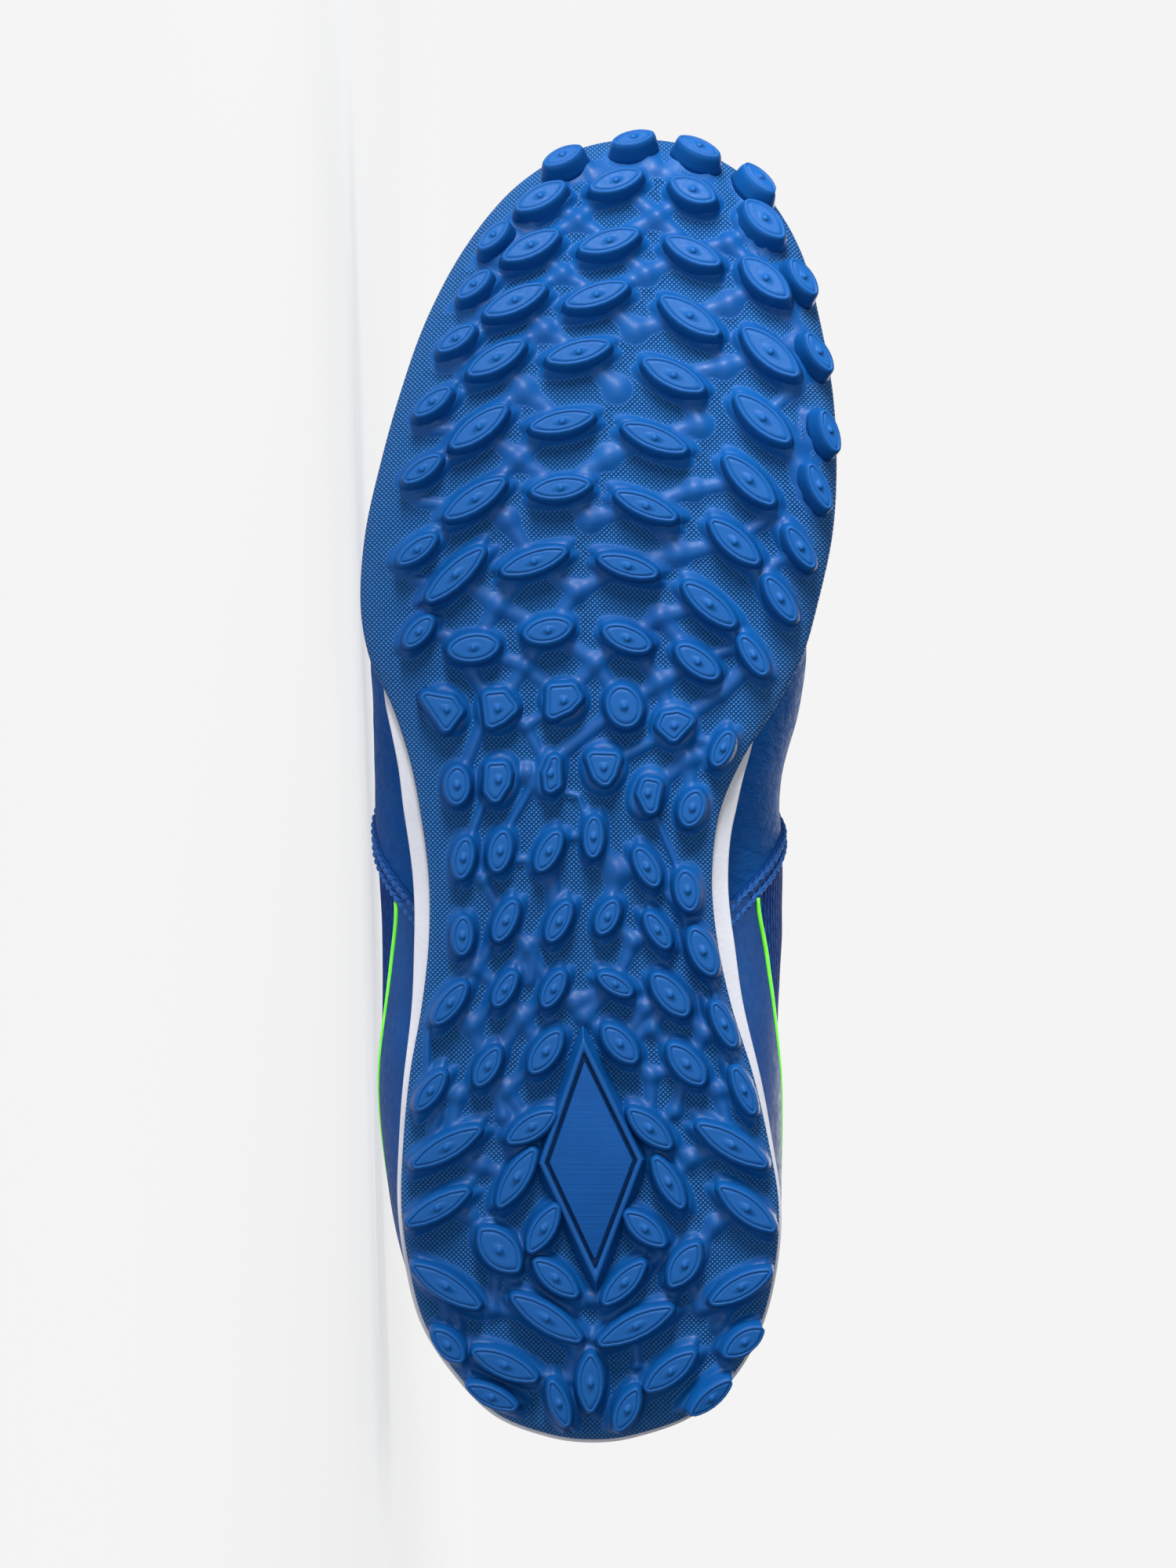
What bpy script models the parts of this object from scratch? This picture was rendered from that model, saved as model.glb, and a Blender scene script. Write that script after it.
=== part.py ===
"""A turf shoe for the right foot, lying on its outer side.

It is modelled as it stands: X to its outer side, Y to the toe and Z up, with the faces of the lugs at
Z = 0 and the back of the sole at Y = 0. At the end an empty lays it on its side, where it rests on the
edge of the sole and on the upper.
"""
import math

import bmesh
import bpy
import numpy as np
from mathutils import Matrix, Vector

# Main sizes of the shoe, in metres
SOLE_LENGTH = 0.285
BALL_WIDTH = 0.1032
EYELET_HEIGHT = 0.084
TOE_SPRING = 0.020
HEEL_BEVEL = 0.0016
# Outsole
LUG_HEIGHT = 0.0055
LUG_FLARE = 0.0016
LUG_ROOT = 0.0008
OUTSOLE_THICKNESS = 0.0020
OUTSOLE_WALL = 0.0018
PLATE_DEPTH = 0.0008
# Layers above the outsole
MIDSOLE_BEVEL = 0.0008
INSOLE_THICKNESS = 0.0030
INSOLE_PLAY = 0.0008
UPPER_WALL = 0.0020
OVERLAY_THICKNESS = 0.0012
PIPING_THICKNESS = 0.0013
TONGUE_THICKNESS = 0.0045
TONGUE_PLAY = 0.0008
LACE_WIDTH = 0.0050
LACE_THICKNESS = 0.0013
LACE_SLACK = 0.0005
GAP = 0.0003

# Shares of the sole's length where the toe spring starts and the heel's bevel ends
SPRING_START = 0.665
BEVEL_END = 0.12

# The chart: places read from a view straight at the sole, in its own units. Its middle is at
# CHART_MIDDLE, the sole spans CHART_LENGTH units and the ball CHART_WIDTH units in the plane of the
# lugs' faces, and what lies further away looks smaller from VIEW_DISTANCE.
CHART_MIDDLE = (750.0, 1000.0)
CHART_LENGTH = 1686.0
CHART_WIDTH = 610.0
MIDDLE_ALONG = 0.499
VIEW_DISTANCE = 1.3


def table(columns, rows):
    """A dictionary of arrays, one for each named column."""
    return dict(zip(columns.split(), np.array(rows, dtype=float).T))


# The sole's outline in chart units, from the heel (section 0) to the toe (section 25)
OUTLINE = table("section down outer inner", [
    (0, 1836, 757, 757),
    (1, 1829, 700, 812),
    (2, 1803, 634, 882),
    (3, 1751, 582, 937),
    (4, 1686, 541, 971),
    (5, 1610, 521, 989),
    (6, 1534, 512, 993),
    (7, 1450, 515, 979),
    (8, 1369, 523, 960),
    (9, 1283, 538, 933),
    (10, 1200, 547, 915),
    (11, 1120, 547, 908),
    (12, 1040, 537, 917),
    (13, 970, 523, 946),
    (14, 900, 500, 990),
    (15, 841, 472, 1022),
    (16, 770, 460, 1043),
    (17, 680, 466, 1062),
    (18, 589, 486, 1067),
    (19, 500, 511, 1062),
    (20, 410, 543, 1046),
    (21, 322, 589, 1022),
    (22, 250, 645, 979),
    (23, 205, 704, 921),
    (24, 184, 757, 873),
    (25, 177, 815, 815),
])
LAST_SECTION = 25

# The edge of the outsole: height of its wall above the ground, and the rise and width of its round
EDGE = table("section wall_outer wall_inner rise width", [
    (0, 0.0026, 0.0026, 0.0016, 0.0030),
    (10, 0.0026, 0.0026, 0.0016, 0.0030),
    (12, 0.0026, 0.0028, 0.0016, 0.0030),
    (13, 0.0028, 0.0042, 0.0020, 0.0040),
    (14, 0.0036, 0.0060, 0.0026, 0.0060),
    (15, 0.0062, 0.0078, 0.0036, 0.0080),
    (16, 0.0090, 0.0095, 0.0044, 0.0100),
    (18, 0.0105, 0.0105, 0.0050, 0.0110),
    (25, 0.0115, 0.0115, 0.0052, 0.0100),
])

# The most that the inside of that round rises, as shares of the round's rise, of the wall above the
# outsole's own thickness, and of the midsole
RISE_SHARE = 0.9
WALL_SHARE = 0.7
MIDSOLE_SHARE = 0.45
# Places on the round, in degrees from the wall to the flat
ROUND_PLACES = (0, 35, 65, 90)

# The midsole's thickness, and how far its side stands out from the outline of the outsole
MIDSOLE = table("section thickness out_outer out_inner", [
    (0, 0.0100, 0.0009, 0.0009),
    (6, 0.0096, 0.0009, 0.0006),
    (8, 0.0088, 0.0013, 0.0015),
    (9, 0.0082, 0.0022, 0.0026),
    (10, 0.0076, 0.0032, 0.0036),
    (12, 0.0068, 0.0036, 0.0034),
    (13, 0.0064, 0.0028, 0.0014),
    (14, 0.0062, 0.0014, -0.0021),
    (15, 0.0060, -0.0021, -0.0021),
    (25, 0.0054, -0.0021, -0.0021),
])

# How far the upper bulges out from the outline of the outsole, and how high its shoulder is
BELLY = table("section out_outer out_inner shoulder", [
    (0, -0.0010, -0.0010, 0.55),
    (3, -0.0006, -0.0008, 0.55),
    (5, 0.0014, 0.0000, 0.58),
    (6, 0.0026, 0.0006, 0.60),
    (7, 0.0050, 0.0032, 0.62),
    (8, 0.0074, 0.0068, 0.64),
    (9, 0.0098, 0.0120, 0.68),
    (10, 0.0114, 0.0155, 0.72),
    (11, 0.0120, 0.0166, 0.76),
    (12, 0.0112, 0.0154, 0.79),
    (13, 0.0092, 0.0112, 0.82),
    (14, 0.0056, 0.0064, 0.84),
    (15, 0.0008, 0.0022, 0.86),
    (16, -0.0026, -0.0018, 0.88),
    (17, -0.0026, -0.0026, 0.88),
    (25, -0.0026, -0.0026, 0.90),
])

# The upper's top line: the rim of collar and throat up to section 16, then the ridge of the vamp.
# Along is a share of the sole's length, half and middle of half the ball, height of the eyelets'.
TOP = table("section along half middle height", [
    (0, 0.014, 0.00, -0.02, 0.950),
    (1, 0.019, 0.20, -0.02, 0.950),
    (2, 0.034, 0.38, -0.02, 0.940),
    (3, 0.064, 0.50, -0.02, 0.905),
    (4, 0.104, 0.57, -0.02, 0.850),
    (5, 0.147, 0.60, -0.02, 0.800),
    (6, 0.193, 0.60, -0.02, 0.775),
    (7, 0.239, 0.58, -0.01, 0.790),
    (8, 0.284, 0.53, 0.00, 0.845),
    (9, 0.330, 0.46, 0.00, 0.925),
    (10, 0.375, 0.39, 0.00, 1.000),
    (11, 0.418, 0.35, -0.01, 0.975),
    (13, 0.505, 0.30, -0.04, 0.875),
    (15, 0.590, 0.20, -0.07, 0.780),
    (16, 0.625, 0.00, -0.08, 0.750),
    (18, 0.715, 0.00, -0.10, 0.673),
    (20, 0.800, 0.00, -0.14, 0.619),
    (22, 0.872, 0.00, -0.18, 0.583),
    (24, 0.918, 0.00, -0.21, 0.553),
    (25, 0.926, 0.00, -0.22, 0.548),
])
THROAT_SECTION = 16

# Height of the side curve's lower control, as a share of the side's rise
LOW_SHOULDER = 0.30
# How many times the bulge of the side is corrected, at how many levels
BELLY_ROUNDS = 6
BELLY_STEPS = 25

# Where the counter's top edge lies up the upper's side, as a share of its curve
PANEL = table("section top", [
    (0, 0.56),
    (3, 0.53),
    (6, 0.45),
    (7.3, 0.38),
    (8.5, 0.28),
    (9.5, 0.22),
    (10.6, 0.18),
    (14, 0.20),
    (25, 0.26),
])
# Levels of the grid: one under the counter's top as a share of it, the eyestay's edge, one above that
LOW_LEVEL = 0.35
EYESTAY_LEVEL = 0.70
HIGH_LEVEL = 0.86

# The lugs in chart units: middle of the face, its length and width, and its turn in degrees
LUGS = table("across down length width turn", [
    (717, 197, 44, 17, 27), (808, 174, 44, 15, 17), (892, 185, 48, 16, -27), (970, 225, 46, 16, -44),
    (689, 249, 62, 21, 30), (786, 229, 60, 20, 20), (884, 241, 53, 23, -27), (976, 278, 59, 26, -45),
    (629, 299, 41, 13, 45), (677, 312, 70, 21, 28), (777, 306, 69, 21, 18),
    (884, 319, 67, 21, -27), (977, 354, 68, 26, -43), (1026, 352, 45, 16, -53),
    (604, 362, 43, 13, 41), (657, 382, 76, 21, 27), (761, 375, 74, 20, 19),
    (880, 402, 78, 23, -34), (983, 448, 83, 26, -42), (1046, 448, 47, 14, -55),
    (581, 431, 45, 14, 35), (633, 456, 72, 21, 31), (738, 448, 73, 20, 15),
    (859, 478, 76, 23, -27), (973, 533, 80, 24, -42), (1060, 549, 45, 12, -69),
    (551, 512, 47, 14, 37), (611, 544, 77, 21, 37), (717, 537, 72, 19, 12),
    (835, 558, 77, 20, -22), (956, 612, 76, 22, -45), (1046, 620, 52, 13, -65),
    (538, 598, 47, 14, 35), (606, 636, 79, 20, 33), (715, 622, 65, 19, 8),
    (824, 645, 73, 17, -23), (937, 691, 71, 21, -42), (1022, 698, 51, 14, -57),
    (532, 701, 48, 14, 37), (581, 733, 86, 19, 43), (681, 716, 76, 19, 19),
    (801, 722, 67, 17, -16), (905, 771, 73, 20, -40), (996, 764, 56, 16, -57),
    (534, 806, 39, 14, 48), (604, 826, 55, 26, 7), (699, 804, 52, 23, 12),
    (800, 814, 54, 21, -22), (890, 844, 55, 21, -37), (961, 836, 48, 14, -57),
    (570, 905, 44, 29, -61), (635, 904, 41, 36, 80), (719, 894, 41, 38, 0),
    (796, 901, 44, 34, -70), (860, 926, 40, 39, -60), (922, 955, 38, 14, 65),
    (583, 1002, 39, 22, 88), (636, 995, 50, 31, 80), (702, 987, 41, 17, 78),
    (770, 979, 45, 37, 85), (826, 1012, 45, 27, 72), (883, 1031, 38, 22, 72),
    (591, 1095, 42, 16, 80), (638, 1086, 43, 18, 78), (700, 1086, 46, 16, 62),
    (757, 1068, 42, 14, 88), (825, 1106, 45, 16, -62), (877, 1136, 43, 21, -80),
    (590, 1194, 39, 16, 87), (645, 1175, 46, 15, 65), (713, 1176, 45, 15, 63),
    (775, 1170, 37, 16, 65), (839, 1187, 42, 13, -58), (897, 1214, 55, 22, -65),
    (574, 1280, 54, 16, 53), (644, 1262, 39, 12, 60), (706, 1262, 40, 14, 62),
    (785, 1256, 38, 12, -30), (855, 1269, 57, 23, -50), (931, 1305, 52, 13, -64),
    (549, 1392, 49, 14, 54), (622, 1361, 45, 16, 60), (696, 1342, 54, 21, 55),
    (791, 1332, 50, 21, -48), (876, 1358, 55, 23, -49), (960, 1388, 54, 12, -66),
    (569, 1464, 89, 20, 29), (678, 1438, 61, 20, 32), (829, 1440, 61, 20, -42), (934, 1461, 92, 22, -31),
    (558, 1541, 80, 18, 29), (659, 1503, 76, 20, 58), (853, 1509, 63, 16, -61), (953, 1542, 80, 22, -38),
    (693, 1568, 59, 19, 59), (637, 1595, 62, 34, -47), (823, 1568, 55, 20, -40), (873, 1614, 55, 24, 57),
    (569, 1641, 91, 22, -32), (709, 1631, 60, 20, -40), (796, 1637, 64, 18, 46), (945, 1642, 77, 20, 28),
    (697, 1682, 94, 22, -33), (811, 1692, 94, 22, 26),
    (571, 1717, 45, 20, -47), (644, 1742, 79, 21, -24), (753, 1765, 64, 22, 90),
    (855, 1750, 69, 20, 38), (958, 1716, 52, 21, 34),
    (627, 1783, 59, 15, -24), (713, 1791, 52, 14, -70), (800, 1799, 50, 18, 65), (909, 1785, 58, 15, 40),
])
LUG_CORNERS = 6
# How many times a lug's place is corrected for the height of its face, and the step of a slope there
LUG_ROUNDS = 8
SLOPE_STEP = 0.001

# The diamond in the heel, in chart units: toe, outer, heel and inner corner of its rim and its plate
DIAMOND_RIM = [(745, 1333), (687, 1484), (760, 1634), (821, 1482)]
DIAMOND_PLATE = [(745, 1352), (702, 1482), (758, 1602), (806, 1479)]
# Shares of the corners' distance from the middle: foot, outside, inside and inner foot of the rim, and
# the plate's face and foot
RIM_SHARES = (1.06, 1.0, 0.92, 0.90)
PLATE_SHARES = (0.86, 0.90)

# The tongue's free end behind the top eyelets: steps back, up and in half width, from its last section
TONGUE_END = table("back up half", [
    (0.007, 0.0040, 0.0165),
    (0.013, 0.0085, 0.0170),
    (0.018, 0.0135, 0.0160),
    (0.021, 0.0175, 0.0120),
])
# The tongue's edge there: share of its half width, and how far it droops
TONGUE_EDGE = table("share drop", [
    (1.0, 0.0050),
    (0.8, 0.0028),
    (0.5, 0.0008),
])
TONGUE_FIRST = 17.5
TONGUE_LAST = 10.0
TONGUE_ARCH = 0.0012
TONGUE_LEVELS = (0.76, 0.86, 1.0)

# Sections that carry an eyelet, and where the eyelets are up the upper's side
EYELET_SECTIONS = [10.4, 11.5, 12.5, 13.5, 14.4, 15.1]
EYELET_LEVEL = 0.90
EYELET_SIZE = 0.06
LACE_STAGGER = 0.0004
# Share of the step from eyelet to eyelet that a lace has made where it leaves the eyestay
LACE_LEAN = 0.15

# Overlays: first and last section, first and last level
COUNTER_END = 10.6
COUNTER_LEVELS = (1, 2)
EYESTAY_SECTIONS = (9.6, 17.2)
EYESTAY_LEVELS = (4, 6)
PIPING_OFFSET = 0.006
PIPING_SHARE = 0.020

# Places round the shoe: outer side from heel to toe, then inner side back to the heel
HALF_LOOP = 40
LOOP = 2 * HALF_LOOP
PLACES_PER_SECTION = HALF_LOOP / LAST_SECTION
PLACE = np.arange(LOOP) / PLACES_PER_SECTION
SECTION = np.minimum(PLACE, 2 * LAST_SECTION - PLACE)
OUTER_SIDE = PLACE <= LAST_SECTION


def smooth(keys, values, at):
    """A curve through a column's values that never swings past them."""
    steps = np.diff(keys)
    slopes = np.diff(values) / steps
    flat = slopes[:-1] * slopes[1:] <= 0
    inner = np.where(flat, 0.0, 2 * slopes[:-1] * slopes[1:] / np.where(flat, 1.0, slopes[:-1] + slopes[1:]))
    tangents = np.concatenate([[slopes[0]], inner, [slopes[-1]]])
    i = np.clip(np.searchsorted(keys, at, side="right") - 1, 0, len(keys) - 2)
    h = steps[i]
    t = (at - keys[i]) / h
    return (values[i] * (1 + 2 * t) * (1 - t) ** 2 + tangents[i] * h * t * (1 - t) ** 2
            + values[i + 1] * t ** 2 * (3 - 2 * t) - tangents[i + 1] * h * t ** 2 * (1 - t))


def round_shoe(rows, outer, inner=None):
    """A column's value at each place round the shoe. The inner side may have a column of its own."""
    values = smooth(rows["section"], rows[outer], SECTION)
    if inner is None:
        return values
    return np.where(OUTER_SIDE, values, smooth(rows["section"], rows[inner], SECTION))


def spring(along):
    """How far the sole lies above its flat part: the toe spring and the bevel of the heel."""
    toe = np.clip((along / SOLE_LENGTH - SPRING_START) / (1 - SPRING_START), 0, None)
    heel = np.clip((BEVEL_END - along / SOLE_LENGTH) / BEVEL_END, 0, None)
    return TOE_SPRING * toe ** 2 + HEEL_BEVEL * heel ** 2


def from_chart(across, down, height):
    """The place at this height that the chart shows at (across, down)."""
    away = 1 + height / VIEW_DISTANCE
    x = -(across - CHART_MIDDLE[0]) / CHART_WIDTH * BALL_WIDTH * away
    y = SOLE_LENGTH * (MIDDLE_ALONG + (CHART_MIDDLE[1] - down) / CHART_LENGTH * away)
    return x, y


WALL = round_shoe(EDGE, "wall_outer", "wall_inner")
RISE = round_shoe(EDGE, "rise")
ROUND = round_shoe(EDGE, "width")


def sole_outline():
    """A smooth closed curve through the outline's rows, and its outward normals."""
    across = np.concatenate([OUTLINE["outer"], OUTLINE["inner"][-2:0:-1]])
    down = np.concatenate([OUTLINE["down"], OUTLINE["down"][-2:0:-1]])
    section = np.concatenate([OUTLINE["section"], OUTLINE["section"][-2:0:-1]])
    rise = smooth(EDGE["section"], EDGE["rise"], section)
    _, rough_along = from_chart(across, down, LUG_HEIGHT)
    x, y = from_chart(across, down, LUG_HEIGHT + spring(rough_along) + rise)
    rows = np.column_stack([x, y])
    i = np.floor(PLACE).astype(int)
    t = (PLACE - i)[:, None]
    before, start, end, after = (rows[(i + step) % len(rows)] for step in (-1, 0, 1, 2))
    points = 0.5 * (2 * start + (end - before) * t + (2 * before - 5 * start + 4 * end - after) * t ** 2
                    + (3 * start - before - 3 * end + after) * t ** 3)
    ahead = np.roll(points, -1, axis=0) - np.roll(points, 1, axis=0)
    normals = np.column_stack([ahead[:, 1], -ahead[:, 0]])
    return points, normals / np.linalg.norm(normals, axis=1)[:, None]


EDGE_LINE, EDGE_NORMAL = sole_outline()


def ring(inset, height):
    """The loop at this inset from the outline and this height above the ground of the outsole."""
    plan = EDGE_LINE - EDGE_NORMAL * np.broadcast_to(inset, LOOP)[:, None]
    return np.column_stack([plan, LUG_HEIGHT + spring(plan[:, 1]) + height])


def ground(x, y):
    """Height of the outsole's underside at (x, y), with its rounded edge."""
    away = EDGE_LINE - (x, y)
    distance = np.hypot(away[:, 0], away[:, 1])
    i = int(np.argmin(distance))
    depth = np.clip((ROUND[i] - distance[i]) / ROUND[i], 0, 1)
    return LUG_HEIGHT + float(spring(y)) + RISE[i] * (1 - math.sqrt(1 - depth ** 2))


def ground_normal(x, y):
    """The direction straight out of the tread at (x, y), downwards."""
    step = SLOPE_STEP
    slope_x = (ground(x + step, y) - ground(x - step, y)) / (2 * step)
    slope_y = (ground(x, y + step) - ground(x, y - step)) / (2 * step)
    return Vector((slope_x, slope_y, -1)).normalized()


def new_object(name, mesh, material=None, collection=None):
    item = bpy.data.objects.new(name, mesh)
    (collection or PARTS).objects.link(item)
    if material:
        mesh.materials.append(material)
    return item


def mesh_object(name, points, faces, material=None, collection=None, closed=True):
    mesh = bpy.data.meshes.new(name)
    mesh.from_pydata([tuple(p) for p in points], [], faces)
    work = bmesh.new()
    work.from_mesh(mesh)
    if closed:
        bmesh.ops.recalc_face_normals(work, faces=work.faces)
        if work.calc_volume(signed=True) < 0:
            bmesh.ops.reverse_faces(work, faces=work.faces)
        bmesh.ops.triangulate(work, faces=work.faces)
    work.to_mesh(mesh)
    work.free()
    mesh.shade_smooth()
    return new_object(name, mesh, material, collection)


def material(name, colour, roughness, metallic=0.0):
    item = bpy.data.materials.new(name)
    item.use_nodes = True
    shader = item.node_tree.nodes["Principled BSDF"]
    shader.inputs["Base Color"].default_value = (*colour, 1)
    shader.inputs["Roughness"].default_value = roughness
    shader.inputs["Metallic"].default_value = metallic
    return item


def layered_faces(loops, count):
    """Quads between neighbouring loops of one length, and flat ends across the first and last loop."""
    faces = []
    for k in range(loops - 1):
        for i in range(count):
            j = (i + 1) % count
            faces.append((k * count + i, k * count + j, (k + 1) * count + j, (k + 1) * count + i))
    for start in (0, (loops - 1) * count):
        half = count // 2
        faces.append((start, start + 1, start + count - 1))
        for i in range(1, half - 1):
            faces.append((start + i, start + i + 1, start + count - i - 1, start + count - i))
        faces.append((start + half - 1, start + half, start + half + 1))
    return faces


def layered(name, loops, finish):
    """A solid with these loops round it, from one flat end to the other."""
    return mesh_object(name, np.concatenate(loops), layered_faces(len(loops), LOOP), finish)


def union(target, cutter, tangled=False):
    """Joins the cutter to the target. A tangled cutter's own bodies may cross each other."""
    joint = target.modifiers.new("join_" + cutter.name, "BOOLEAN")
    joint.operation = "UNION"
    joint.solver = "EXACT"
    joint.use_self = tangled
    joint.object = cutter
    cutter.hide_render = True
    cutter.display_type = "WIRE"


def round_point(width, rise, degrees):
    """Inset and height of a place on a quarter round: 0 degrees at the edge, 90 on the flat."""
    angle = math.radians(degrees)
    return width * (1 - math.cos(angle)), rise * (1 - math.sin(angle))


INNER_RISE = np.minimum.reduce([RISE_SHARE * RISE, WALL_SHARE * (WALL - OUTSOLE_THICKNESS),
                                MIDSOLE_SHARE * round_shoe(MIDSOLE, "thickness")])
INNER_ROUND = ROUND - OUTSOLE_WALL


def inner_round(degrees, clearance):
    """The inside of the outsole's rounded edge, with some clearance from it."""
    inset, height = round_point(INNER_ROUND, INNER_RISE, degrees)
    return ring(OUTSOLE_WALL + inset + clearance, OUTSOLE_THICKNESS + height + clearance)


def lug_shape(across, down, length, width, turn):
    """Corners of a lug's face and of its root in the rubber."""
    x, y = from_chart(across, down, 0)
    for _ in range(LUG_ROUNDS):
        out = ground_normal(x, y)
        base = Vector((x, y, ground(x, y)))
        face = base + out * LUG_HEIGHT
        seen_x, seen_y = from_chart(across, down, face.z)
        x += seen_x - face.x
        y += seen_y - face.y
        gap_x, gap_y = nearest_edge(x, y, LUG_ROOT)
        x += gap_x
        y += gap_y
    unit = BALL_WIDTH / CHART_WIDTH
    angle = math.radians(turn)
    # The chart looks up at the sole, so a turn there runs the other way round here
    lengthways = Vector((-math.cos(angle), math.sin(angle), 0))
    lengthways = (lengthways - out * lengthways.dot(out)).normalized()
    sideways = out.cross(lengthways)
    face_points, root_points = [], []
    for k in range(LUG_CORNERS):
        a = 2 * math.pi * k / LUG_CORNERS
        reach = Vector((math.cos(a) * length / 2 * unit, math.sin(a) * width / 2 * unit))
        face_points.append(face + lengthways * reach.x + sideways * reach.y)
        flared = reach + reach.normalized() * LUG_FLARE
        foot = base + lengthways * flared.x + sideways * flared.y
        inward = nearest_edge(foot.x, foot.y, LUG_ROOT)
        foot.x += inward[0]
        foot.y += inward[1]
        root_points.append(Vector((foot.x, foot.y, ground(foot.x, foot.y) + LUG_ROOT)))
    middle = sum(root_points, Vector()) / LUG_CORNERS
    middle.z = ground(middle.x, middle.y) + LUG_ROOT
    return face_points, root_points, middle


def nearest_edge(x, y, clearance):
    """The move that brings (x, y) to at least this far inside the outline."""
    away = np.array((x, y)) - EDGE_LINE
    i = int(np.argmin(np.hypot(away[:, 0], away[:, 1])))
    outside = float(away[i] @ EDGE_NORMAL[i]) + clearance
    return -EDGE_NORMAL[i] * max(outside, 0.0)


def lugs():
    points, faces = [], []
    for row in zip(*(LUGS[c] for c in ("across", "down", "length", "width", "turn"))):
        face_points, root_points, middle = lug_shape(*row)
        start = len(points)
        points += face_points + root_points + [middle]
        faces.append([start + k for k in range(LUG_CORNERS)])
        for k in range(LUG_CORNERS):
            j = (k + 1) % LUG_CORNERS
            root = start + LUG_CORNERS
            faces.append((start + j, start + k, root + k, root + j))
            faces.append((root + j, root + k, root + LUG_CORNERS))
    return mesh_object("lug_shapes", points, faces, collection=CUTTERS)


def diamond_loop(corners, share, height):
    """The diamond's corners, drawn in towards its middle by a share, at a height below the ground."""
    corners = np.array(corners, dtype=float)
    middle = corners.mean(axis=0)
    corners = middle + (corners - middle) * share
    x, y = from_chart(corners[:, 0], corners[:, 1], LUG_HEIGHT - height)
    return [Vector((a, b, LUG_HEIGHT - height)) for a, b in zip(x, y)]


def diamond():
    """The rim of the heel's diamond and the plate inside it, as two bodies."""
    tall = LUG_HEIGHT - PLATE_DEPTH
    heights = (-LUG_ROOT, tall, tall, -LUG_ROOT)
    rim = [diamond_loop(DIAMOND_RIM, share, height) for share, height in zip(RIM_SHARES, heights)]
    points = [p for loop in rim for p in loop]
    faces = [(4 * k + i, 4 * k + (i + 1) % 4, 4 * ((k + 1) % 4) + (i + 1) % 4, 4 * ((k + 1) % 4) + i)
             for k in range(4) for i in range(4)]
    low = diamond_loop(DIAMOND_PLATE, PLATE_SHARES[1], -LUG_ROOT)
    high = diamond_loop(DIAMOND_PLATE, PLATE_SHARES[0], tall)
    start = len(points)
    points += low + high
    faces += [(start, start + 1, start + 2, start + 3), (start + 4, start + 5, start + 6, start + 7)]
    faces += [(start + i, start + (i + 1) % 4, start + 4 + (i + 1) % 4, start + 4 + i) for i in range(4)]
    return mesh_object("diamond_shape", points, faces, collection=CUTTERS)


def outsole():
    edge = [ring(*round_point(ROUND, RISE, angle)) for angle in ROUND_PLACES]
    loops = [inner_round(90, 0), inner_round(0, 0), ring(OUTSOLE_WALL, WALL), ring(0, WALL), *edge]
    sole = layered("outsole", loops, RUBBER)
    union(sole, lugs(), tangled=True)
    union(sole, diamond())
    return sole


MIDSOLE_TOP = OUTSOLE_THICKNESS + GAP + round_shoe(MIDSOLE, "thickness")
TUCKED = OUTSOLE_WALL + GAP
STEP_UP = np.minimum(WALL + 2 * GAP, MIDSOLE_TOP - 2 * MIDSOLE_BEVEL)
# Where the outsole's wall covers the midsole, and one place further, its side is tucked in
WALL_IS_HIGHER = WALL + 2 * GAP > MIDSOLE_TOP - 2 * MIDSOLE_BEVEL
COVERED = WALL_IS_HIGHER | np.roll(WALL_IS_HIGHER, 1) | np.roll(WALL_IS_HIGHER, -1)
FREE_SIDE = round_shoe(MIDSOLE, "out_outer", "out_inner")
MIDSOLE_SIDE = np.where(COVERED, np.minimum(FREE_SIDE, -TUCKED), FREE_SIDE)


def midsole():
    loops = [inner_round(90, GAP), inner_round(0, GAP),
             ring(TUCKED, STEP_UP - GAP), ring(-MIDSOLE_SIDE, STEP_UP),
             ring(-MIDSOLE_SIDE, MIDSOLE_TOP - MIDSOLE_BEVEL),
             ring(MIDSOLE_BEVEL - MIDSOLE_SIDE, MIDSOLE_TOP)]
    return layered("midsole", loops, FOAM)


FEATHER_INSET = np.maximum(MIDSOLE_BEVEL - MIDSOLE_SIDE, TUCKED + GAP)
FEATHER = ring(FEATHER_INSET, MIDSOLE_TOP + GAP)


def top_line():
    side = np.where(OUTER_SIDE, 1, -1)
    half_ball = BALL_WIDTH / 2
    x = (round_shoe(TOP, "middle") + side * round_shoe(TOP, "half")) * half_ball
    y = round_shoe(TOP, "along") * SOLE_LENGTH
    z = round_shoe(TOP, "height") * EYELET_HEIGHT
    closed = SECTION >= THROAT_SECTION
    x[closed] = (round_shoe(TOP, "middle") * half_ball)[closed]
    return np.column_stack([x, y, z])


TOP_LINE = top_line()


def side_curve(control, level):
    """Points of the upper at a level: a curve from the feather edge over the side to the top line."""
    level = np.broadcast_to(level, LOOP)[:, None]
    weights = ((1 - level) ** 3, 3 * level * (1 - level) ** 2, 3 * level ** 2 * (1 - level), level ** 3)
    shoulder = round_shoe(BELLY, "shoulder")
    rise = TOP_LINE[:, 2] - FEATHER[:, 2]
    low = np.column_stack([control, FEATHER[:, 2] + LOW_SHOULDER * rise])
    high = np.column_stack([control, FEATHER[:, 2] + shoulder * rise])
    return weights[0] * FEATHER + weights[1] * low + weights[2] * high + weights[3] * TOP_LINE


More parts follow.
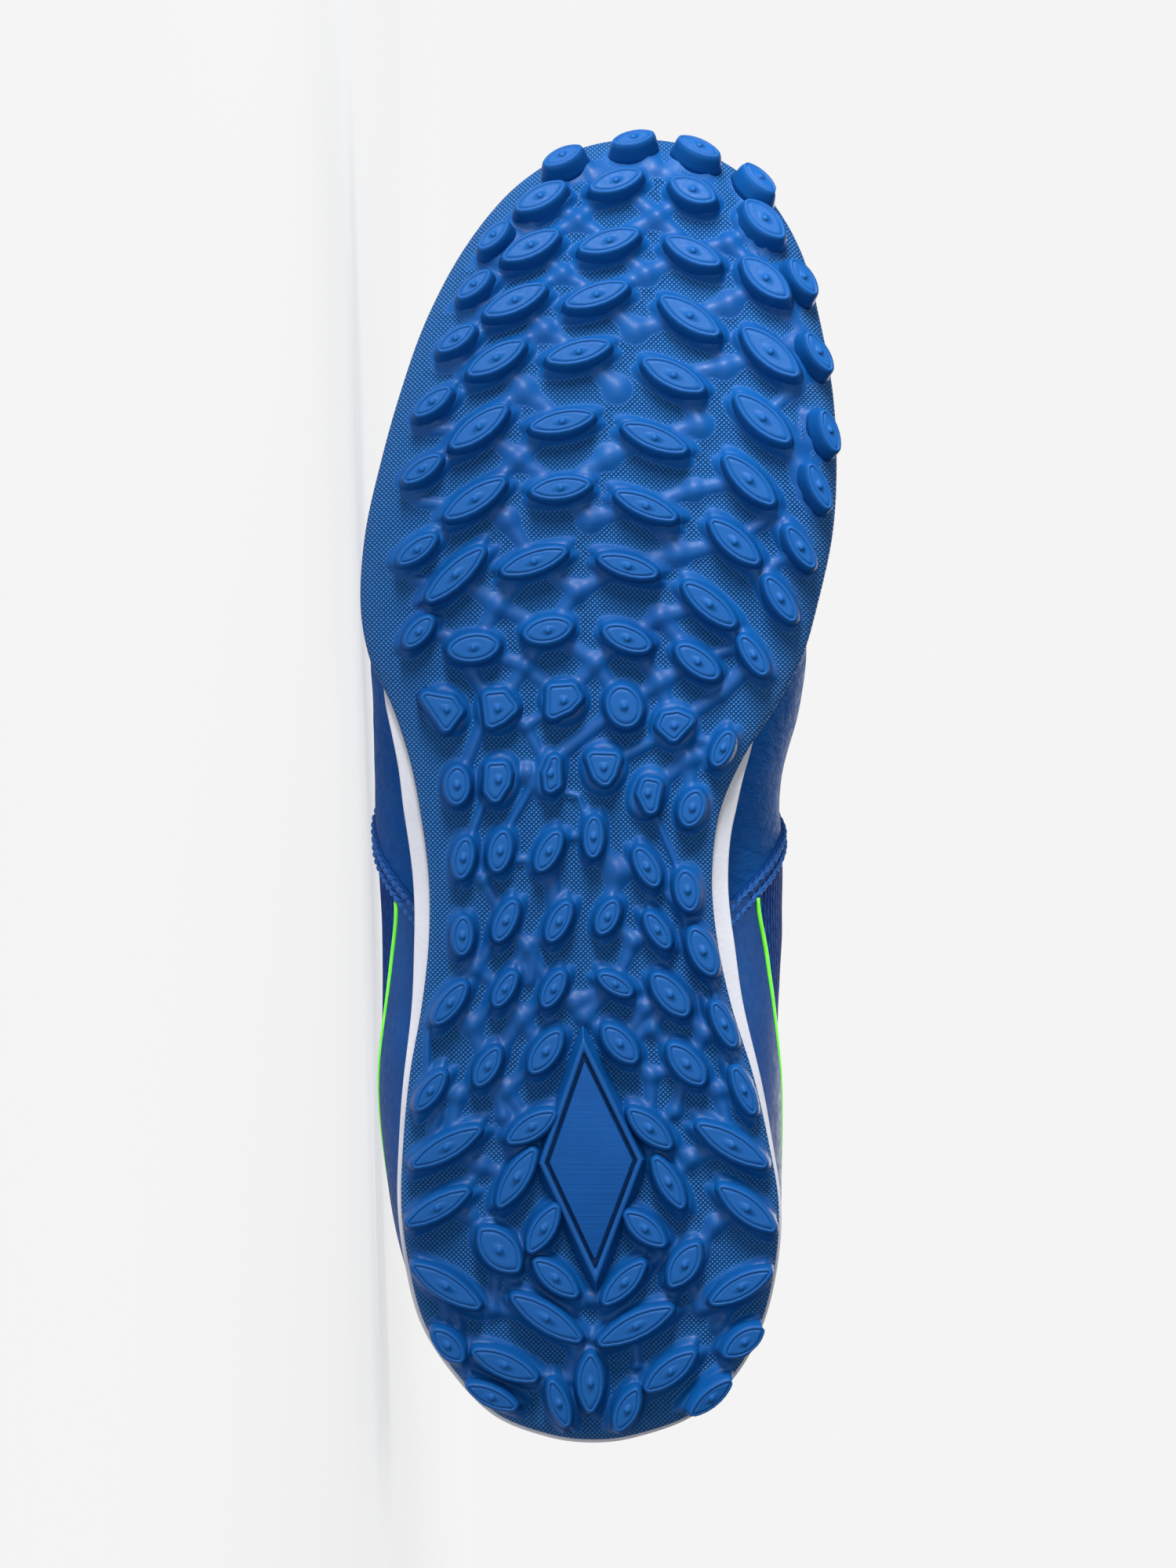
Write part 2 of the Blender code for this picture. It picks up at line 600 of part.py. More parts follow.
def belly_control():
    """The plan position of the side curve's two middle controls, so that it bulges as charted."""
    wanted = round_shoe(BELLY, "out_outer", "out_inner")
    control = EDGE_LINE + EDGE_NORMAL * wanted[:, None]
    for _ in range(BELLY_ROUNDS):
        levels = np.linspace(0, 1, BELLY_STEPS)
        curves = np.stack([side_curve(control, level)[:, :2] for level in levels])
        reach = np.einsum("kij,ij->ki", curves - EDGE_LINE, EDGE_NORMAL).max(axis=0)
        control = control + EDGE_NORMAL * (wanted - reach)[:, None]
    return control


def level_lines():
    """Levels of the grid at each place: the second is the counter's top edge."""
    panel = round_shoe(PANEL, "top")
    middle = (panel + EYESTAY_LEVEL) / 2
    fixed = np.ones(LOOP)
    return np.column_stack([0 * fixed, LOW_LEVEL * panel, panel, middle, EYESTAY_LEVEL * fixed,
                            HIGH_LEVEL * fixed, fixed])


CONTROL = belly_control()
LEVELS = level_lines()
TOP_LEVEL = LEVELS.shape[1] - 1
SIDE = np.stack([side_curve(CONTROL, LEVELS[:, k]) for k in range(TOP_LEVEL + 1)], axis=1)


def place_at(section):
    """The nearest place on the outer side to a section."""
    return round(section * PLACES_PER_SECTION)


def on_facets(columns, levels):
    """Points and normals of the upper's flat facets at these places and levels."""
    points, normals = [], []
    for i, level in zip(columns, levels):
        points.append([np.interp(level, LEVELS[i], SIDE[i, :, axis]) for axis in range(3)])
        normals.append([np.interp(level, LEVELS[i], NORMALS[i, :, axis]) for axis in range(3)])
    return np.array(points), np.array(normals)


def upper_key(i, k):
    """The grid's own name for a point: both sides share the ridge of the vamp."""
    i = i % LOOP
    if k == TOP_LEVEL and SECTION[i] >= THROAT_SECTION:
        i = min(i, LOOP - i)
    return i, k


def sheet(name, columns, levels, points, finish, collection=None):
    """An open sheet over part of the upper's grid, with its normals pointing out of the shoe."""
    names, faces = {}, []
    for i in columns:
        for k in range(*levels):
            keys = [upper_key(i, k), upper_key(i + 1, k), upper_key(i + 1, k + 1), upper_key(i, k + 1)]
            faces.append([names.setdefault(key, len(names)) for key in keys])
    places = [points[key] for key in names]
    item = mesh_object(name, places, faces, finish, collection, closed=False)
    return item, list(names)


def outward_normals():
    """The upper's normal at each point of its grid."""
    whole, keys = sheet("upper_normals", range(LOOP), (0, TOP_LEVEL), SIDE, None, CUTTERS)
    normals = np.zeros_like(SIDE)
    for key, vertex in zip(keys, whole.data.vertices):
        normals[key] = vertex.normal
    for i in range(LOOP):
        normals[i, TOP_LEVEL] = normals[upper_key(i, TOP_LEVEL)]
    bpy.data.objects.remove(whole)
    return normals


def thicken(item, thickness, outward):
    shell = item.modifiers.new("wall", "SOLIDIFY")
    shell.thickness = thickness
    shell.offset = 1 if outward else -1
    shell.use_even_offset = False
    shell.use_quality_normals = True


def upper():
    shell, _ = sheet("upper", range(LOOP), (0, TOP_LEVEL), SIDE, LEATHER)
    thicken(shell, UPPER_WALL, outward=False)
    return shell


def counter():
    reach = place_at(COUNTER_END)
    lifted = SIDE + NORMALS * GAP
    panel, _ = sheet("heel_counter", range(-reach, reach), COUNTER_LEVELS, lifted, COUNTER)
    thicken(panel, OVERLAY_THICKNESS, outward=True)
    return panel


def eyestay():
    first, last = (place_at(section) for section in EYESTAY_SECTIONS)
    columns = list(range(first, last)) + list(range(LOOP - last, LOOP - first))
    panel, _ = sheet("eyestay", columns, EYESTAY_LEVELS, SIDE + NORMALS * GAP, STAY)
    thicken(panel, OVERLAY_THICKNESS, outward=True)
    return panel


def piping():
    """A cord along the counter's top edge, as a square strip round the heel."""
    reach = place_at(COUNTER_END)
    columns = np.arange(-reach, reach + 1) % LOOP
    low, high = (on_facets(columns, LEVELS[columns, 2] + share)[0]
                 for share in (PIPING_OFFSET, PIPING_OFFSET + PIPING_SHARE))
    out = NORMALS[columns, COUNTER_LEVELS[1]]
    strips = [low + out * GAP, high + out * GAP, high + out * PIPING_THICKNESS, low + out * PIPING_THICKNESS]
    return lofted("piping", np.stack(strips, axis=1), PIPING)


def lofted(name, sections, finish=None, collection=None):
    """A solid through sections of one corner count, closed at both ends."""
    count, corners = sections.shape[:2]
    faces = [tuple(range(corners)), tuple((count - 1) * corners + k for k in range(corners))]
    for i in range(count - 1):
        for k in range(corners):
            j = (k + 1) % corners
            faces.append((i * corners + k, i * corners + j, (i + 1) * corners + j, (i + 1) * corners + k))
    return mesh_object(name, sections.reshape(-1, 3), faces, finish, collection)


def insole():
    inset = FEATHER_INSET + UPPER_WALL + INSOLE_PLAY
    low = MIDSOLE_TOP + GAP
    loops = [ring(inset + GAP, low), ring(inset, low + GAP), ring(inset, low + INSOLE_THICKNESS)]
    return layered("insole", loops, LINING)


def tongue():
    """Under the throat it follows the inside of the upper, and behind the top eyelets it stands free."""
    inward = UPPER_WALL + TONGUE_PLAY
    levels = np.array(TONGUE_LEVELS)
    sections = []
    for i in range(place_at(TONGUE_FIRST), place_at(TONGUE_LAST) - 1, -1):
        sides = []
        for place in (i, LOOP - i):
            points, normals = on_facets([place] * len(levels), levels)
            sides.append(list(points - normals * inward))
        outer, inner = sides[0], sides[1][::-1]
        middle = (outer[-1] + inner[0]) / 2
        if SECTION[i] < THROAT_SECTION:
            middle[2] += TONGUE_ARCH
        sections.append(tongue_section(outer, middle, inner))
    anchor = (outer[-1] + inner[0]) / 2
    for back, up, half in zip(*(TONGUE_END[c] for c in ("back", "up", "half"))):
        centre = anchor + (0, -back, up)
        steps = [(half * share, -drop) for share, drop in zip(TONGUE_EDGE["share"], TONGUE_EDGE["drop"])]
        outer = [centre + (x, 0, z) for x, z in steps]
        inner = [centre + (-x, 0, z) for x, z in reversed(steps)]
        sections.append(tongue_section(outer, centre, inner))
    return lofted("tongue", np.array(sections), PADDING)


def tongue_section(outer, middle, inner):
    if np.linalg.norm(outer[-1] - inner[0]) < GAP:
        spread = np.array([TONGUE_ARCH, 0, 0])
        outer = outer[:-1] + [outer[-1] + spread]
        inner = [inner[0] - spread] + inner[1:]
    top = outer + [middle] + inner
    return top + [p - (0, 0, TONGUE_THICKNESS) for p in reversed(top)]


def on_upper(section, outer, level, lift):
    """A place on the upper, lifted off its surface, and the direction out of it."""
    at = section * PLACES_PER_SECTION
    at = at if outer else LOOP - at
    i = int(at)
    t = at - i
    points, normals = on_facets([i, (i + 1) % LOOP], [level, level])
    normal = Vector(normals[0] * (1 - t) + normals[1] * t).normalized()
    return Vector(points[0] * (1 - t) + points[1] * t) + normal * lift, normal


def lace_run(name, start, end, from_outer, stagger):
    """One run of the lace from an eyelet's section on one side to another's on the other side."""
    lift = 2 * GAP + OVERLAY_THICKNESS + LACE_THICKNESS / 2 + LACE_SLACK + stagger
    lean = (end - start) * LACE_LEAN
    down_side = EYELET_LEVEL - EYELET_SIZE * (1 - stagger / LACE_WIDTH)
    half_width = LACE_WIDTH / 2 - stagger
    first = [on_upper(start, from_outer, down_side, lift), on_upper(start, from_outer, EYELET_LEVEL, lift),
             on_upper(start + lean, from_outer, 1.0, lift + LACE_SLACK)]
    last = [on_upper(end - lean, not from_outer, 1.0, lift + LACE_SLACK),
            on_upper(end, not from_outer, EYELET_LEVEL, lift), on_upper(end, not from_outer, down_side, lift)]
    top = (first[-1][0] + last[0][0]) / 2 + Vector((0, 0, TONGUE_ARCH)), Vector((0, 0, 1))
    path = [*first, top, *last]
    sections = []
    for k, (place, up) in enumerate(path):
        ahead = path[min(k + 1, len(path) - 1)][0] - path[max(k - 1, 0)][0]
        aside = ahead.cross(up).normalized()
        w, h = aside * half_width, up * LACE_THICKNESS / 2
        sections.append([place + w + h, place - w + h, place - w - h, place + w - h])
    return lofted(name, np.array(sections), None, CUTTERS)


def laces():
    """Crossings over the tongue, and a straight bar at the front, joined into one solid."""
    runs = [lace_run("lace_bar", EYELET_SECTIONS[-1], EYELET_SECTIONS[-1], True, 2 * LACE_STAGGER)]
    for k in range(len(EYELET_SECTIONS) - 1):
        ends = EYELET_SECTIONS[k], EYELET_SECTIONS[k + 1]
        runs.append(lace_run(f"lace_{k}_over", *ends, True, LACE_STAGGER))
        runs.append(lace_run(f"lace_{k}_under", *ends, False, 0))
    whole = new_object("laces", runs[0].data.copy(), CORD)
    for run in runs[1:]:
        union(whole, run)
    bpy.data.objects.remove(runs[0])
    return whole


DENSITY = {"outsole": 1200, "midsole": 300}
OTHER_DENSITY = 450


def solid_points(items):
    """World points of every solid as it is built, and the shoe's centre of mass."""
    graph = bpy.context.evaluated_depsgraph_get()
    points, moment, mass = [], Vector(), 0.0
    for item in items:
        mesh = item.evaluated_get(graph).to_mesh()
        mesh.calc_loop_triangles()
        density = DENSITY.get(item.name, OTHER_DENSITY)
        for triangle in mesh.loop_triangles:
            a, b, c = (mesh.vertices[v].co for v in triangle.vertices)
            share = a.dot(b.cross(c)) / 6 * density
            moment += (a + b + c) / 4 * share
            mass += share
        points += [v.co.copy() for v in mesh.vertices]
    return points, moment / mass


def lying_turn(points, centre):
    """The turn that lays the shoe on the outer face of its hull over which it balances."""
    hull = bmesh.new()
    for p in points:
        hull.verts.new(p)
    bmesh.ops.convex_hull(hull, input=hull.verts)
    faces = []
    for face in hull.faces:
        down = face.normal
        if down.dot(face.calc_center_median() - centre) < 0:
            down = -down
        a, b, c = (v.co for v in face.verts[:3])
        foot = centre + down * down.dot(a - centre)
        sides = [(q - p).cross(foot - p).dot(down) for p, q in ((a, b), (b, c), (c, a))]
        if min(sides) >= 0 or max(sides) <= 0:
            faces.append((down.x, down.copy()))
    hull.free()
    down = max(faces)[1]
    up = -down
    toe = (Vector((0, 1, 0)) - up * up.y).normalized()
    return Matrix((toe.cross(up), toe, up)).to_4x4()


def lay_down(items):
    """Lays the shoe on its outer side, with the middle of its box over the origin."""
    points, centre = solid_points(items)
    turn = lying_turn(points, centre)
    turned = np.array([turn @ p for p in points])
    low, high = turned.min(axis=0), turned.max(axis=0)
    lying = bpy.data.objects.new("lying_shoe", None)
    for item in [*PARTS.objects, *CUTTERS.objects]:
        item.parent = lying
    PARTS.objects.link(lying)
    place = Matrix.Translation((-(low[0] + high[0]) / 2, -(low[1] + high[1]) / 2, -low[2]))
    lying.matrix_world = place @ turn


for old in list(bpy.data.objects):
    bpy.data.objects.remove(old)
PARTS = bpy.data.collections.new("turf_shoe")
CUTTERS = bpy.data.collections.new("cutters")
for group in (PARTS, CUTTERS):
    bpy.context.scene.collection.children.link(group)

RUBBER = material("blue_rubber", (0.010, 0.098, 0.376), 0.45)
FOAM = material("white_foam", (0.60, 0.61, 0.67), 0.70)
LEATHER = material("blue_synthetic", (0.010, 0.090, 0.350), 0.50)
COUNTER = material("blue_panel", (0.008, 0.080, 0.330), 0.45)
STAY = material("blue_stay", (0.010, 0.090, 0.350), 0.50)
PIPING = material("green_piping", (0.19, 1.0, 0.06), 0.50)
LINING = material("dark_lining", (0.008, 0.030, 0.120), 0.90)
PADDING = material("blue_padding", (0.010, 0.070, 0.300), 0.85)
CORD = material("blue_lace", (0.012, 0.110, 0.420), 0.80)

NORMALS = outward_normals()
SHOE = [outsole(), midsole(), upper(), counter(), eyestay(), piping(), insole(), tongue(), laces()]
lay_down(SHOE)
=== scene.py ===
"""Looks of the turf shoe: sole, upper and laces with their fine surfaces, on a pale floor.

The shoe's own frame is the one that it was designed in: X to its outer side, Y to the toe and Z up from
the faces of the lugs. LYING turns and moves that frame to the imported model's, where it lies on its side.
"""
import math

import bpy
import numpy as np
from mathutils import Matrix, Vector

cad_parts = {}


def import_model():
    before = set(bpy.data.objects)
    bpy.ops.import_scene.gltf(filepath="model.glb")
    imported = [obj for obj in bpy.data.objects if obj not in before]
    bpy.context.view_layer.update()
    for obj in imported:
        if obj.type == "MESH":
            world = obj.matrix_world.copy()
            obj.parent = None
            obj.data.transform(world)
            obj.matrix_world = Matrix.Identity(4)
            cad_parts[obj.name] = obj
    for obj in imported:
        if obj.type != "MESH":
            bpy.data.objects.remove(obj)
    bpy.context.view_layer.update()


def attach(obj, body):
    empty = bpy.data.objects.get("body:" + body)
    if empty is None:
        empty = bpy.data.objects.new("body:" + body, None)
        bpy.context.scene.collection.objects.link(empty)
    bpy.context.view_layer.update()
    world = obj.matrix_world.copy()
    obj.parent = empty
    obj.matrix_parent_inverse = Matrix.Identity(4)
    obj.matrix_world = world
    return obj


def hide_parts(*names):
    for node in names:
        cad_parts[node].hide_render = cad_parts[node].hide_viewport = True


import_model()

# How the shoe lies: its turn about the direction out of the sole, and where its own origin comes to lie
LYING_TURN = math.radians(1.381)
LYING_PLACE = (-0.0496, -0.1419, 0.0450)

# Sizes of the shoe, in metres, as in the model
SOLE_LENGTH = 0.285
BALL_WIDTH = 0.1032
EYELET_HEIGHT = 0.084
TOE_SPRING = 0.020
HEEL_BEVEL = 0.0016
SPRING_START = 0.665
BEVEL_END = 0.12
LUG_HEIGHT = 0.0055
LUG_ROOT = 0.0008
OUTSOLE_THICKNESS = 0.0020
OUTSOLE_WALL = 0.0018
PLATE_DEPTH = 0.0008
MIDSOLE_BEVEL = 0.0008
INSOLE_THICKNESS = 0.0030
INSOLE_PLAY = 0.0008
UPPER_WALL = 0.0020
OVERLAY_THICKNESS = 0.0012
OVERLAY_BEVEL = 0.0004
TONGUE_THICKNESS = 0.0045
TONGUE_PLAY = 0.0008
LACE_WIDTH = 0.0050
LACE_THICKNESS = 0.0013
LACE_SLACK = 0.0005
GAP = 0.0003

# The chart: places read from a view straight at the sole, in its own units
CHART_MIDDLE = (750.0, 1000.0)
CHART_LENGTH = 1686.0
CHART_WIDTH = 610.0
MIDDLE_ALONG = 0.499
VIEW_DISTANCE = 1.3
UNIT = BALL_WIDTH / CHART_WIDTH


def table(columns, rows):
    """A dictionary of arrays, one for each named column."""
    return dict(zip(columns.split(), np.array(rows, dtype=float).T))


# The sole's outline in chart units, from the heel (section 0) to the toe (section 25)
OUTLINE = table("section down outer inner", [
    (0, 1836, 757, 757), (1, 1829, 700, 812), (2, 1803, 634, 882), (3, 1751, 582, 937), (4, 1686, 541, 971),
    (5, 1610, 521, 989), (6, 1534, 512, 993), (7, 1450, 515, 979), (8, 1369, 523, 960), (9, 1283, 538, 933),
    (10, 1200, 547, 915), (11, 1120, 547, 908), (12, 1040, 537, 917), (13, 970, 523, 946),
    (14, 900, 500, 990), (15, 841, 472, 1022), (16, 770, 460, 1043), (17, 680, 466, 1062),
    (18, 589, 486, 1067), (19, 500, 511, 1062), (20, 410, 543, 1046), (21, 322, 589, 1022),
    (22, 250, 645, 979), (23, 205, 704, 921), (24, 184, 757, 873), (25, 177, 815, 815),
])
LAST_SECTION = 25

# The edge of the outsole: height of its wall above the ground, and the rise and width of its round
EDGE = table("section wall_outer wall_inner rise width", [
    (0, 0.0026, 0.0026, 0.0016, 0.0030), (10, 0.0026, 0.0026, 0.0016, 0.0030),
    (12, 0.0026, 0.0028, 0.0016, 0.0030), (13, 0.0028, 0.0042, 0.0020, 0.0040),
    (14, 0.0036, 0.0060, 0.0026, 0.0060), (15, 0.0062, 0.0078, 0.0036, 0.0080),
    (16, 0.0090, 0.0095, 0.0044, 0.0100), (18, 0.0105, 0.0105, 0.0050, 0.0110),
    (25, 0.0115, 0.0115, 0.0052, 0.0100),
])
RISE_SHARE = 0.9
WALL_SHARE = 0.7
MIDSOLE_SHARE = 0.45

# The midsole's thickness, and how far its side stands out from the outline of the outsole
MIDSOLE = table("section thickness out_outer out_inner", [
    (0, 0.0100, 0.0009, 0.0009), (6, 0.0096, 0.0009, 0.0006), (8, 0.0088, 0.0013, 0.0015),
    (9, 0.0082, 0.0022, 0.0026), (10, 0.0076, 0.0032, 0.0036), (12, 0.0068, 0.0036, 0.0034),
    (13, 0.0064, 0.0028, 0.0014), (14, 0.0062, 0.0014, -0.0021), (15, 0.0060, -0.0021, -0.0021),
    (25, 0.0054, -0.0021, -0.0021),
])

# How far the upper bulges out from the outline of the outsole, and how high its shoulder is
BELLY = table("section out_outer out_inner shoulder", [
    (0, -0.0010, -0.0010, 0.55), (3, -0.0006, -0.0008, 0.55), (5, 0.0014, 0.0000, 0.58),
    (6, 0.0026, 0.0006, 0.60), (7, 0.0050, 0.0032, 0.62), (8, 0.0074, 0.0068, 0.64),
    (9, 0.0098, 0.0120, 0.68), (10, 0.0114, 0.0155, 0.72), (11, 0.0120, 0.0166, 0.76),
    (12, 0.0112, 0.0154, 0.79), (13, 0.0092, 0.0112, 0.82), (14, 0.0056, 0.0064, 0.84),
    (15, 0.0008, 0.0022, 0.86), (16, -0.0026, -0.0018, 0.88), (17, -0.0026, -0.0026, 0.88),
    (25, -0.0026, -0.0026, 0.90),
])
LOW_SHOULDER = 0.30

# The upper's top line: along is a share of the sole's length, half and middle of half the ball, and
# height of the eyelets' height
TOP = table("section along half middle height", [
    (0, 0.014, 0.00, -0.02, 0.950), (1, 0.019, 0.20, -0.02, 0.950), (2, 0.034, 0.38, -0.02, 0.940),
    (3, 0.064, 0.50, -0.02, 0.905), (4, 0.104, 0.57, -0.02, 0.850), (5, 0.147, 0.60, -0.02, 0.800),
    (6, 0.193, 0.60, -0.02, 0.775), (7, 0.239, 0.58, -0.01, 0.790), (8, 0.284, 0.53, 0.00, 0.845),
    (9, 0.330, 0.46, 0.00, 0.925), (10, 0.375, 0.39, 0.00, 1.000), (11, 0.418, 0.35, -0.01, 0.975),
    (13, 0.505, 0.30, -0.04, 0.875), (15, 0.590, 0.20, -0.07, 0.780), (16, 0.625, 0.00, -0.08, 0.750),
    (18, 0.715, 0.00, -0.10, 0.673), (20, 0.800, 0.00, -0.14, 0.619), (22, 0.872, 0.00, -0.18, 0.583),
    (24, 0.918, 0.00, -0.21, 0.553), (25, 0.926, 0.00, -0.22, 0.548),
])
THROAT_SECTION = 16

# Where the counter's top edge lies up the upper's side, as a share of its curve
PANEL = table("section top", [
    (0, 0.56), (3, 0.53), (6, 0.45), (7.3, 0.38), (8.5, 0.28), (9.5, 0.22), (10.6, 0.18),
    (14, 0.20), (25, 0.26),
])
EYESTAY_LEVEL = 0.70

# The lugs in chart units: middle of the face inside its groove, its length and width, its turn in degrees
LUGS = table("across down length width turn", [
    (717, 197, 44, 17, 27), (808, 174, 44, 15, 17), (892, 185, 48, 16, -27), (970, 225, 46, 16, -44),
    (689, 249, 62, 21, 30), (786, 229, 60, 20, 20), (884, 241, 53, 23, -27), (976, 278, 59, 26, -45),
    (629, 299, 41, 13, 45), (677, 312, 70, 21, 28), (777, 306, 69, 21, 18),
    (884, 319, 67, 21, -27), (977, 354, 68, 26, -43), (1026, 352, 45, 16, -53),
    (604, 362, 43, 13, 41), (657, 382, 76, 21, 27), (761, 375, 74, 20, 19),
    (880, 402, 78, 23, -34), (983, 448, 83, 26, -42), (1046, 448, 47, 14, -55),
    (581, 431, 45, 14, 35), (633, 456, 72, 21, 31), (738, 448, 73, 20, 15),
    (859, 478, 76, 23, -27), (973, 533, 80, 24, -42), (1060, 549, 45, 12, -69),
    (551, 512, 47, 14, 37), (611, 544, 77, 21, 37), (717, 537, 72, 19, 12),
    (835, 558, 77, 20, -22), (956, 612, 76, 22, -45), (1046, 620, 52, 13, -65),
    (538, 598, 47, 14, 35), (606, 636, 79, 20, 33), (715, 622, 65, 19, 8),
    (824, 645, 73, 17, -23), (937, 691, 71, 21, -42), (1022, 698, 51, 14, -57),
    (532, 701, 48, 14, 37), (581, 733, 86, 19, 43), (681, 716, 76, 19, 19),
    (801, 722, 67, 17, -16), (905, 771, 73, 20, -40), (996, 764, 56, 16, -57),
    (534, 806, 39, 14, 48), (604, 826, 55, 26, 7), (699, 804, 52, 23, 12),
    (800, 814, 54, 21, -22), (890, 844, 55, 21, -37), (961, 836, 48, 14, -57),
    (570, 905, 44, 29, -61), (635, 904, 41, 36, 80), (719, 894, 41, 38, 0),
    (796, 901, 44, 34, -70), (860, 926, 40, 39, -60), (922, 955, 38, 14, 65),
    (583, 1002, 39, 22, 88), (636, 995, 50, 31, 80), (702, 987, 41, 17, 78),
    (770, 979, 45, 37, 85), (826, 1012, 45, 27, 72), (883, 1031, 38, 22, 72),
    (591, 1095, 42, 16, 80), (638, 1086, 43, 18, 78), (700, 1086, 46, 16, 62),
    (757, 1068, 42, 14, 88), (825, 1106, 45, 16, -62), (877, 1136, 43, 21, -80),
    (590, 1194, 39, 16, 87), (645, 1175, 46, 15, 65), (713, 1176, 45, 15, 63),
    (775, 1170, 37, 16, 65), (839, 1187, 42, 13, -58), (897, 1214, 55, 22, -65),
    (574, 1280, 54, 16, 53), (644, 1262, 39, 12, 60), (706, 1262, 40, 14, 62),
    (785, 1256, 38, 12, -30), (855, 1269, 57, 23, -50), (931, 1305, 52, 13, -64),
    (549, 1392, 49, 14, 54), (622, 1361, 45, 16, 60), (696, 1342, 54, 21, 55),
    (791, 1332, 50, 21, -48), (876, 1358, 55, 23, -49), (960, 1388, 54, 12, -66),
    (569, 1464, 89, 20, 29), (678, 1438, 61, 20, 32), (829, 1440, 61, 20, -42), (934, 1461, 92, 22, -31),
    (558, 1541, 80, 18, 29), (659, 1503, 76, 20, 58), (853, 1509, 63, 16, -61), (953, 1542, 80, 22, -38),
    (693, 1568, 59, 19, 59), (637, 1595, 62, 34, -47), (823, 1568, 55, 20, -40), (873, 1614, 55, 24, 57),
    (569, 1641, 91, 22, -32), (709, 1631, 60, 20, -40), (796, 1637, 64, 18, 46), (945, 1642, 77, 20, 28),
    (697, 1682, 94, 22, -33), (811, 1692, 94, 22, 26),
    (571, 1717, 45, 20, -47), (644, 1742, 79, 21, -24), (753, 1765, 64, 22, 90),
    (855, 1750, 69, 20, 38), (958, 1716, 52, 21, 34),
    (627, 1783, 59, 15, -24), (713, 1791, 52, 14, -70), (800, 1799, 50, 18, 65), (909, 1785, 58, 15, 40),
])

# Lugs whose face is no leaf, by the middle of the face: the corners of the face and how round they are
SHAPED_LUGS = {
    (570, 905): ([(543, 889), (575, 893), (585, 908), (569, 928)], 2.5),
    (635, 904): ([(622, 888), (642, 886), (655, 903), (640, 918), (626, 923)], 3.5),
    (719, 894): ([(704, 879), (730, 877), (737, 889), (726, 903), (703, 911)], 3.5),
    (860, 926): ([(848, 914), (865, 911), (879, 918), (859, 941), (843, 926)], 3.5),
    (636, 995): ([(626, 978), (642, 977), (646, 985), (645, 1000), (631, 1018), (624, 1010)], 3.5),
    (702, 987): ([(708, 969), (709, 1002), (702, 1006), (698, 988)], 2.5),
    (770, 979): ([(755, 965), (785, 966), (780, 988), (772, 997), (762, 990)], 4.5),
    (826, 1012): ([(826, 997), (838, 1000), (831, 1033), (818, 1013)], 4.0),
}

# How pointed the leaves are: 0 is an ellipse, 1 a lens with two sharp tips
POINTED = table("down share", [
    (150, 0.70), (700, 0.75), (800, 0.40), (900, 0.10), (1060, 0.30), (1240, 0.45), (1350, 0.55),
    (1450, 0.92), (1900, 0.85),
])

# The body of a lug: how far its side stands out from the face, and its height as a share of the lug's
LUG_BODY = table("out height", [
    (-0.00005, 0.995), (0.00010, 0.945), (0.00026, 0.945), (0.00040, 0.998), (0.00070, 0.990),
    (0.00105, 0.925), (0.00135, 0.760), (0.00160, 0.520), (0.00185, 0.260), (0.00225, -0.060),
])
GROOVE_ROWS = 5
EDGE_INSET = 0.0005
EDGE_OVERHANG = 0.0012
OVERHANG_END = 780
LUG_PLACES = 40
DOT_RADIUS = 0.00075
DOT_HEIGHT = 0.00050
DOT_SHARE = 0.62

# The foot of a lug in the ground: how far out it starts and ends, its height and how hollow it is
FOOT_START = 0.0013
FOOT_END = 0.0036
FOOT_HEIGHT = 0.0022
FOOT_HOLLOW = 2.2

# Knots of the web between the lugs in chart units, with their radius and how many lugs they reach
KNOTS = table("across down radius arms", [
    (755, 219, 12, 3), (835, 212, 12, 3), (738, 282, 13, 4), (838, 278, 14, 4), (930, 311, 13, 4),
    (718, 350, 12, 4), (824, 351, 14, 4), (930, 388, 15, 4), (695, 422, 14, 4), (810, 422, 15, 4),
    (924, 469, 14, 4), (668, 498, 16, 4), (787, 497, 16, 4), (893, 543, 15, 4), (661, 586, 14, 4),
    (776, 583, 15, 4), (885, 625, 13, 4), (647, 663, 14, 4), (753, 663, 15, 4), (865, 707, 15, 4),
    (635, 773, 14, 4), (736, 755, 13, 4), (842, 787, 14, 4), (670, 850, 12, 4), (760, 846, 13, 4),
    (842, 871, 13, 4), (1015, 495, 11, 3), (1010, 580, 10, 3), (989, 655, 10, 3), (966, 735, 10, 3),
    (671, 926, 9, 3), (672, 986, 13, 3), (878, 969, 13, 4), (616, 1122, 9, 3), (788, 1112, 16, 4),
    (672, 1208, 11, 4), (808, 1201, 11, 4), (606, 1236, 12, 4), (735, 1278, 12, 4), (824, 1286, 12, 4),
    (602, 1308, 13, 3), (665, 1300, 13, 4), (585, 1397, 12, 3), (646, 1390, 12, 3), (745, 1297, 12, 3),
    (832, 1312, 11, 3), (900, 1319, 12, 4), (831, 1372, 11, 3), (916, 1390, 12, 3), (861, 1418, 10, 3),
    (613, 1487, 12, 3), (643, 1424, 10, 3), (882, 1478, 12, 3), (598, 1550, 11, 3), (913, 1561, 12, 4),
    (842, 1602, 10, 4), (672, 1594, 10, 3), (754, 1655, 12, 4), (628, 1669, 11, 3), (894, 1667, 11, 3),
    (916, 1690, 11, 3), (586, 1690, 9, 2), (735, 1722, 10, 3), (700, 1752, 9, 3), (812, 1740, 8, 2),
])
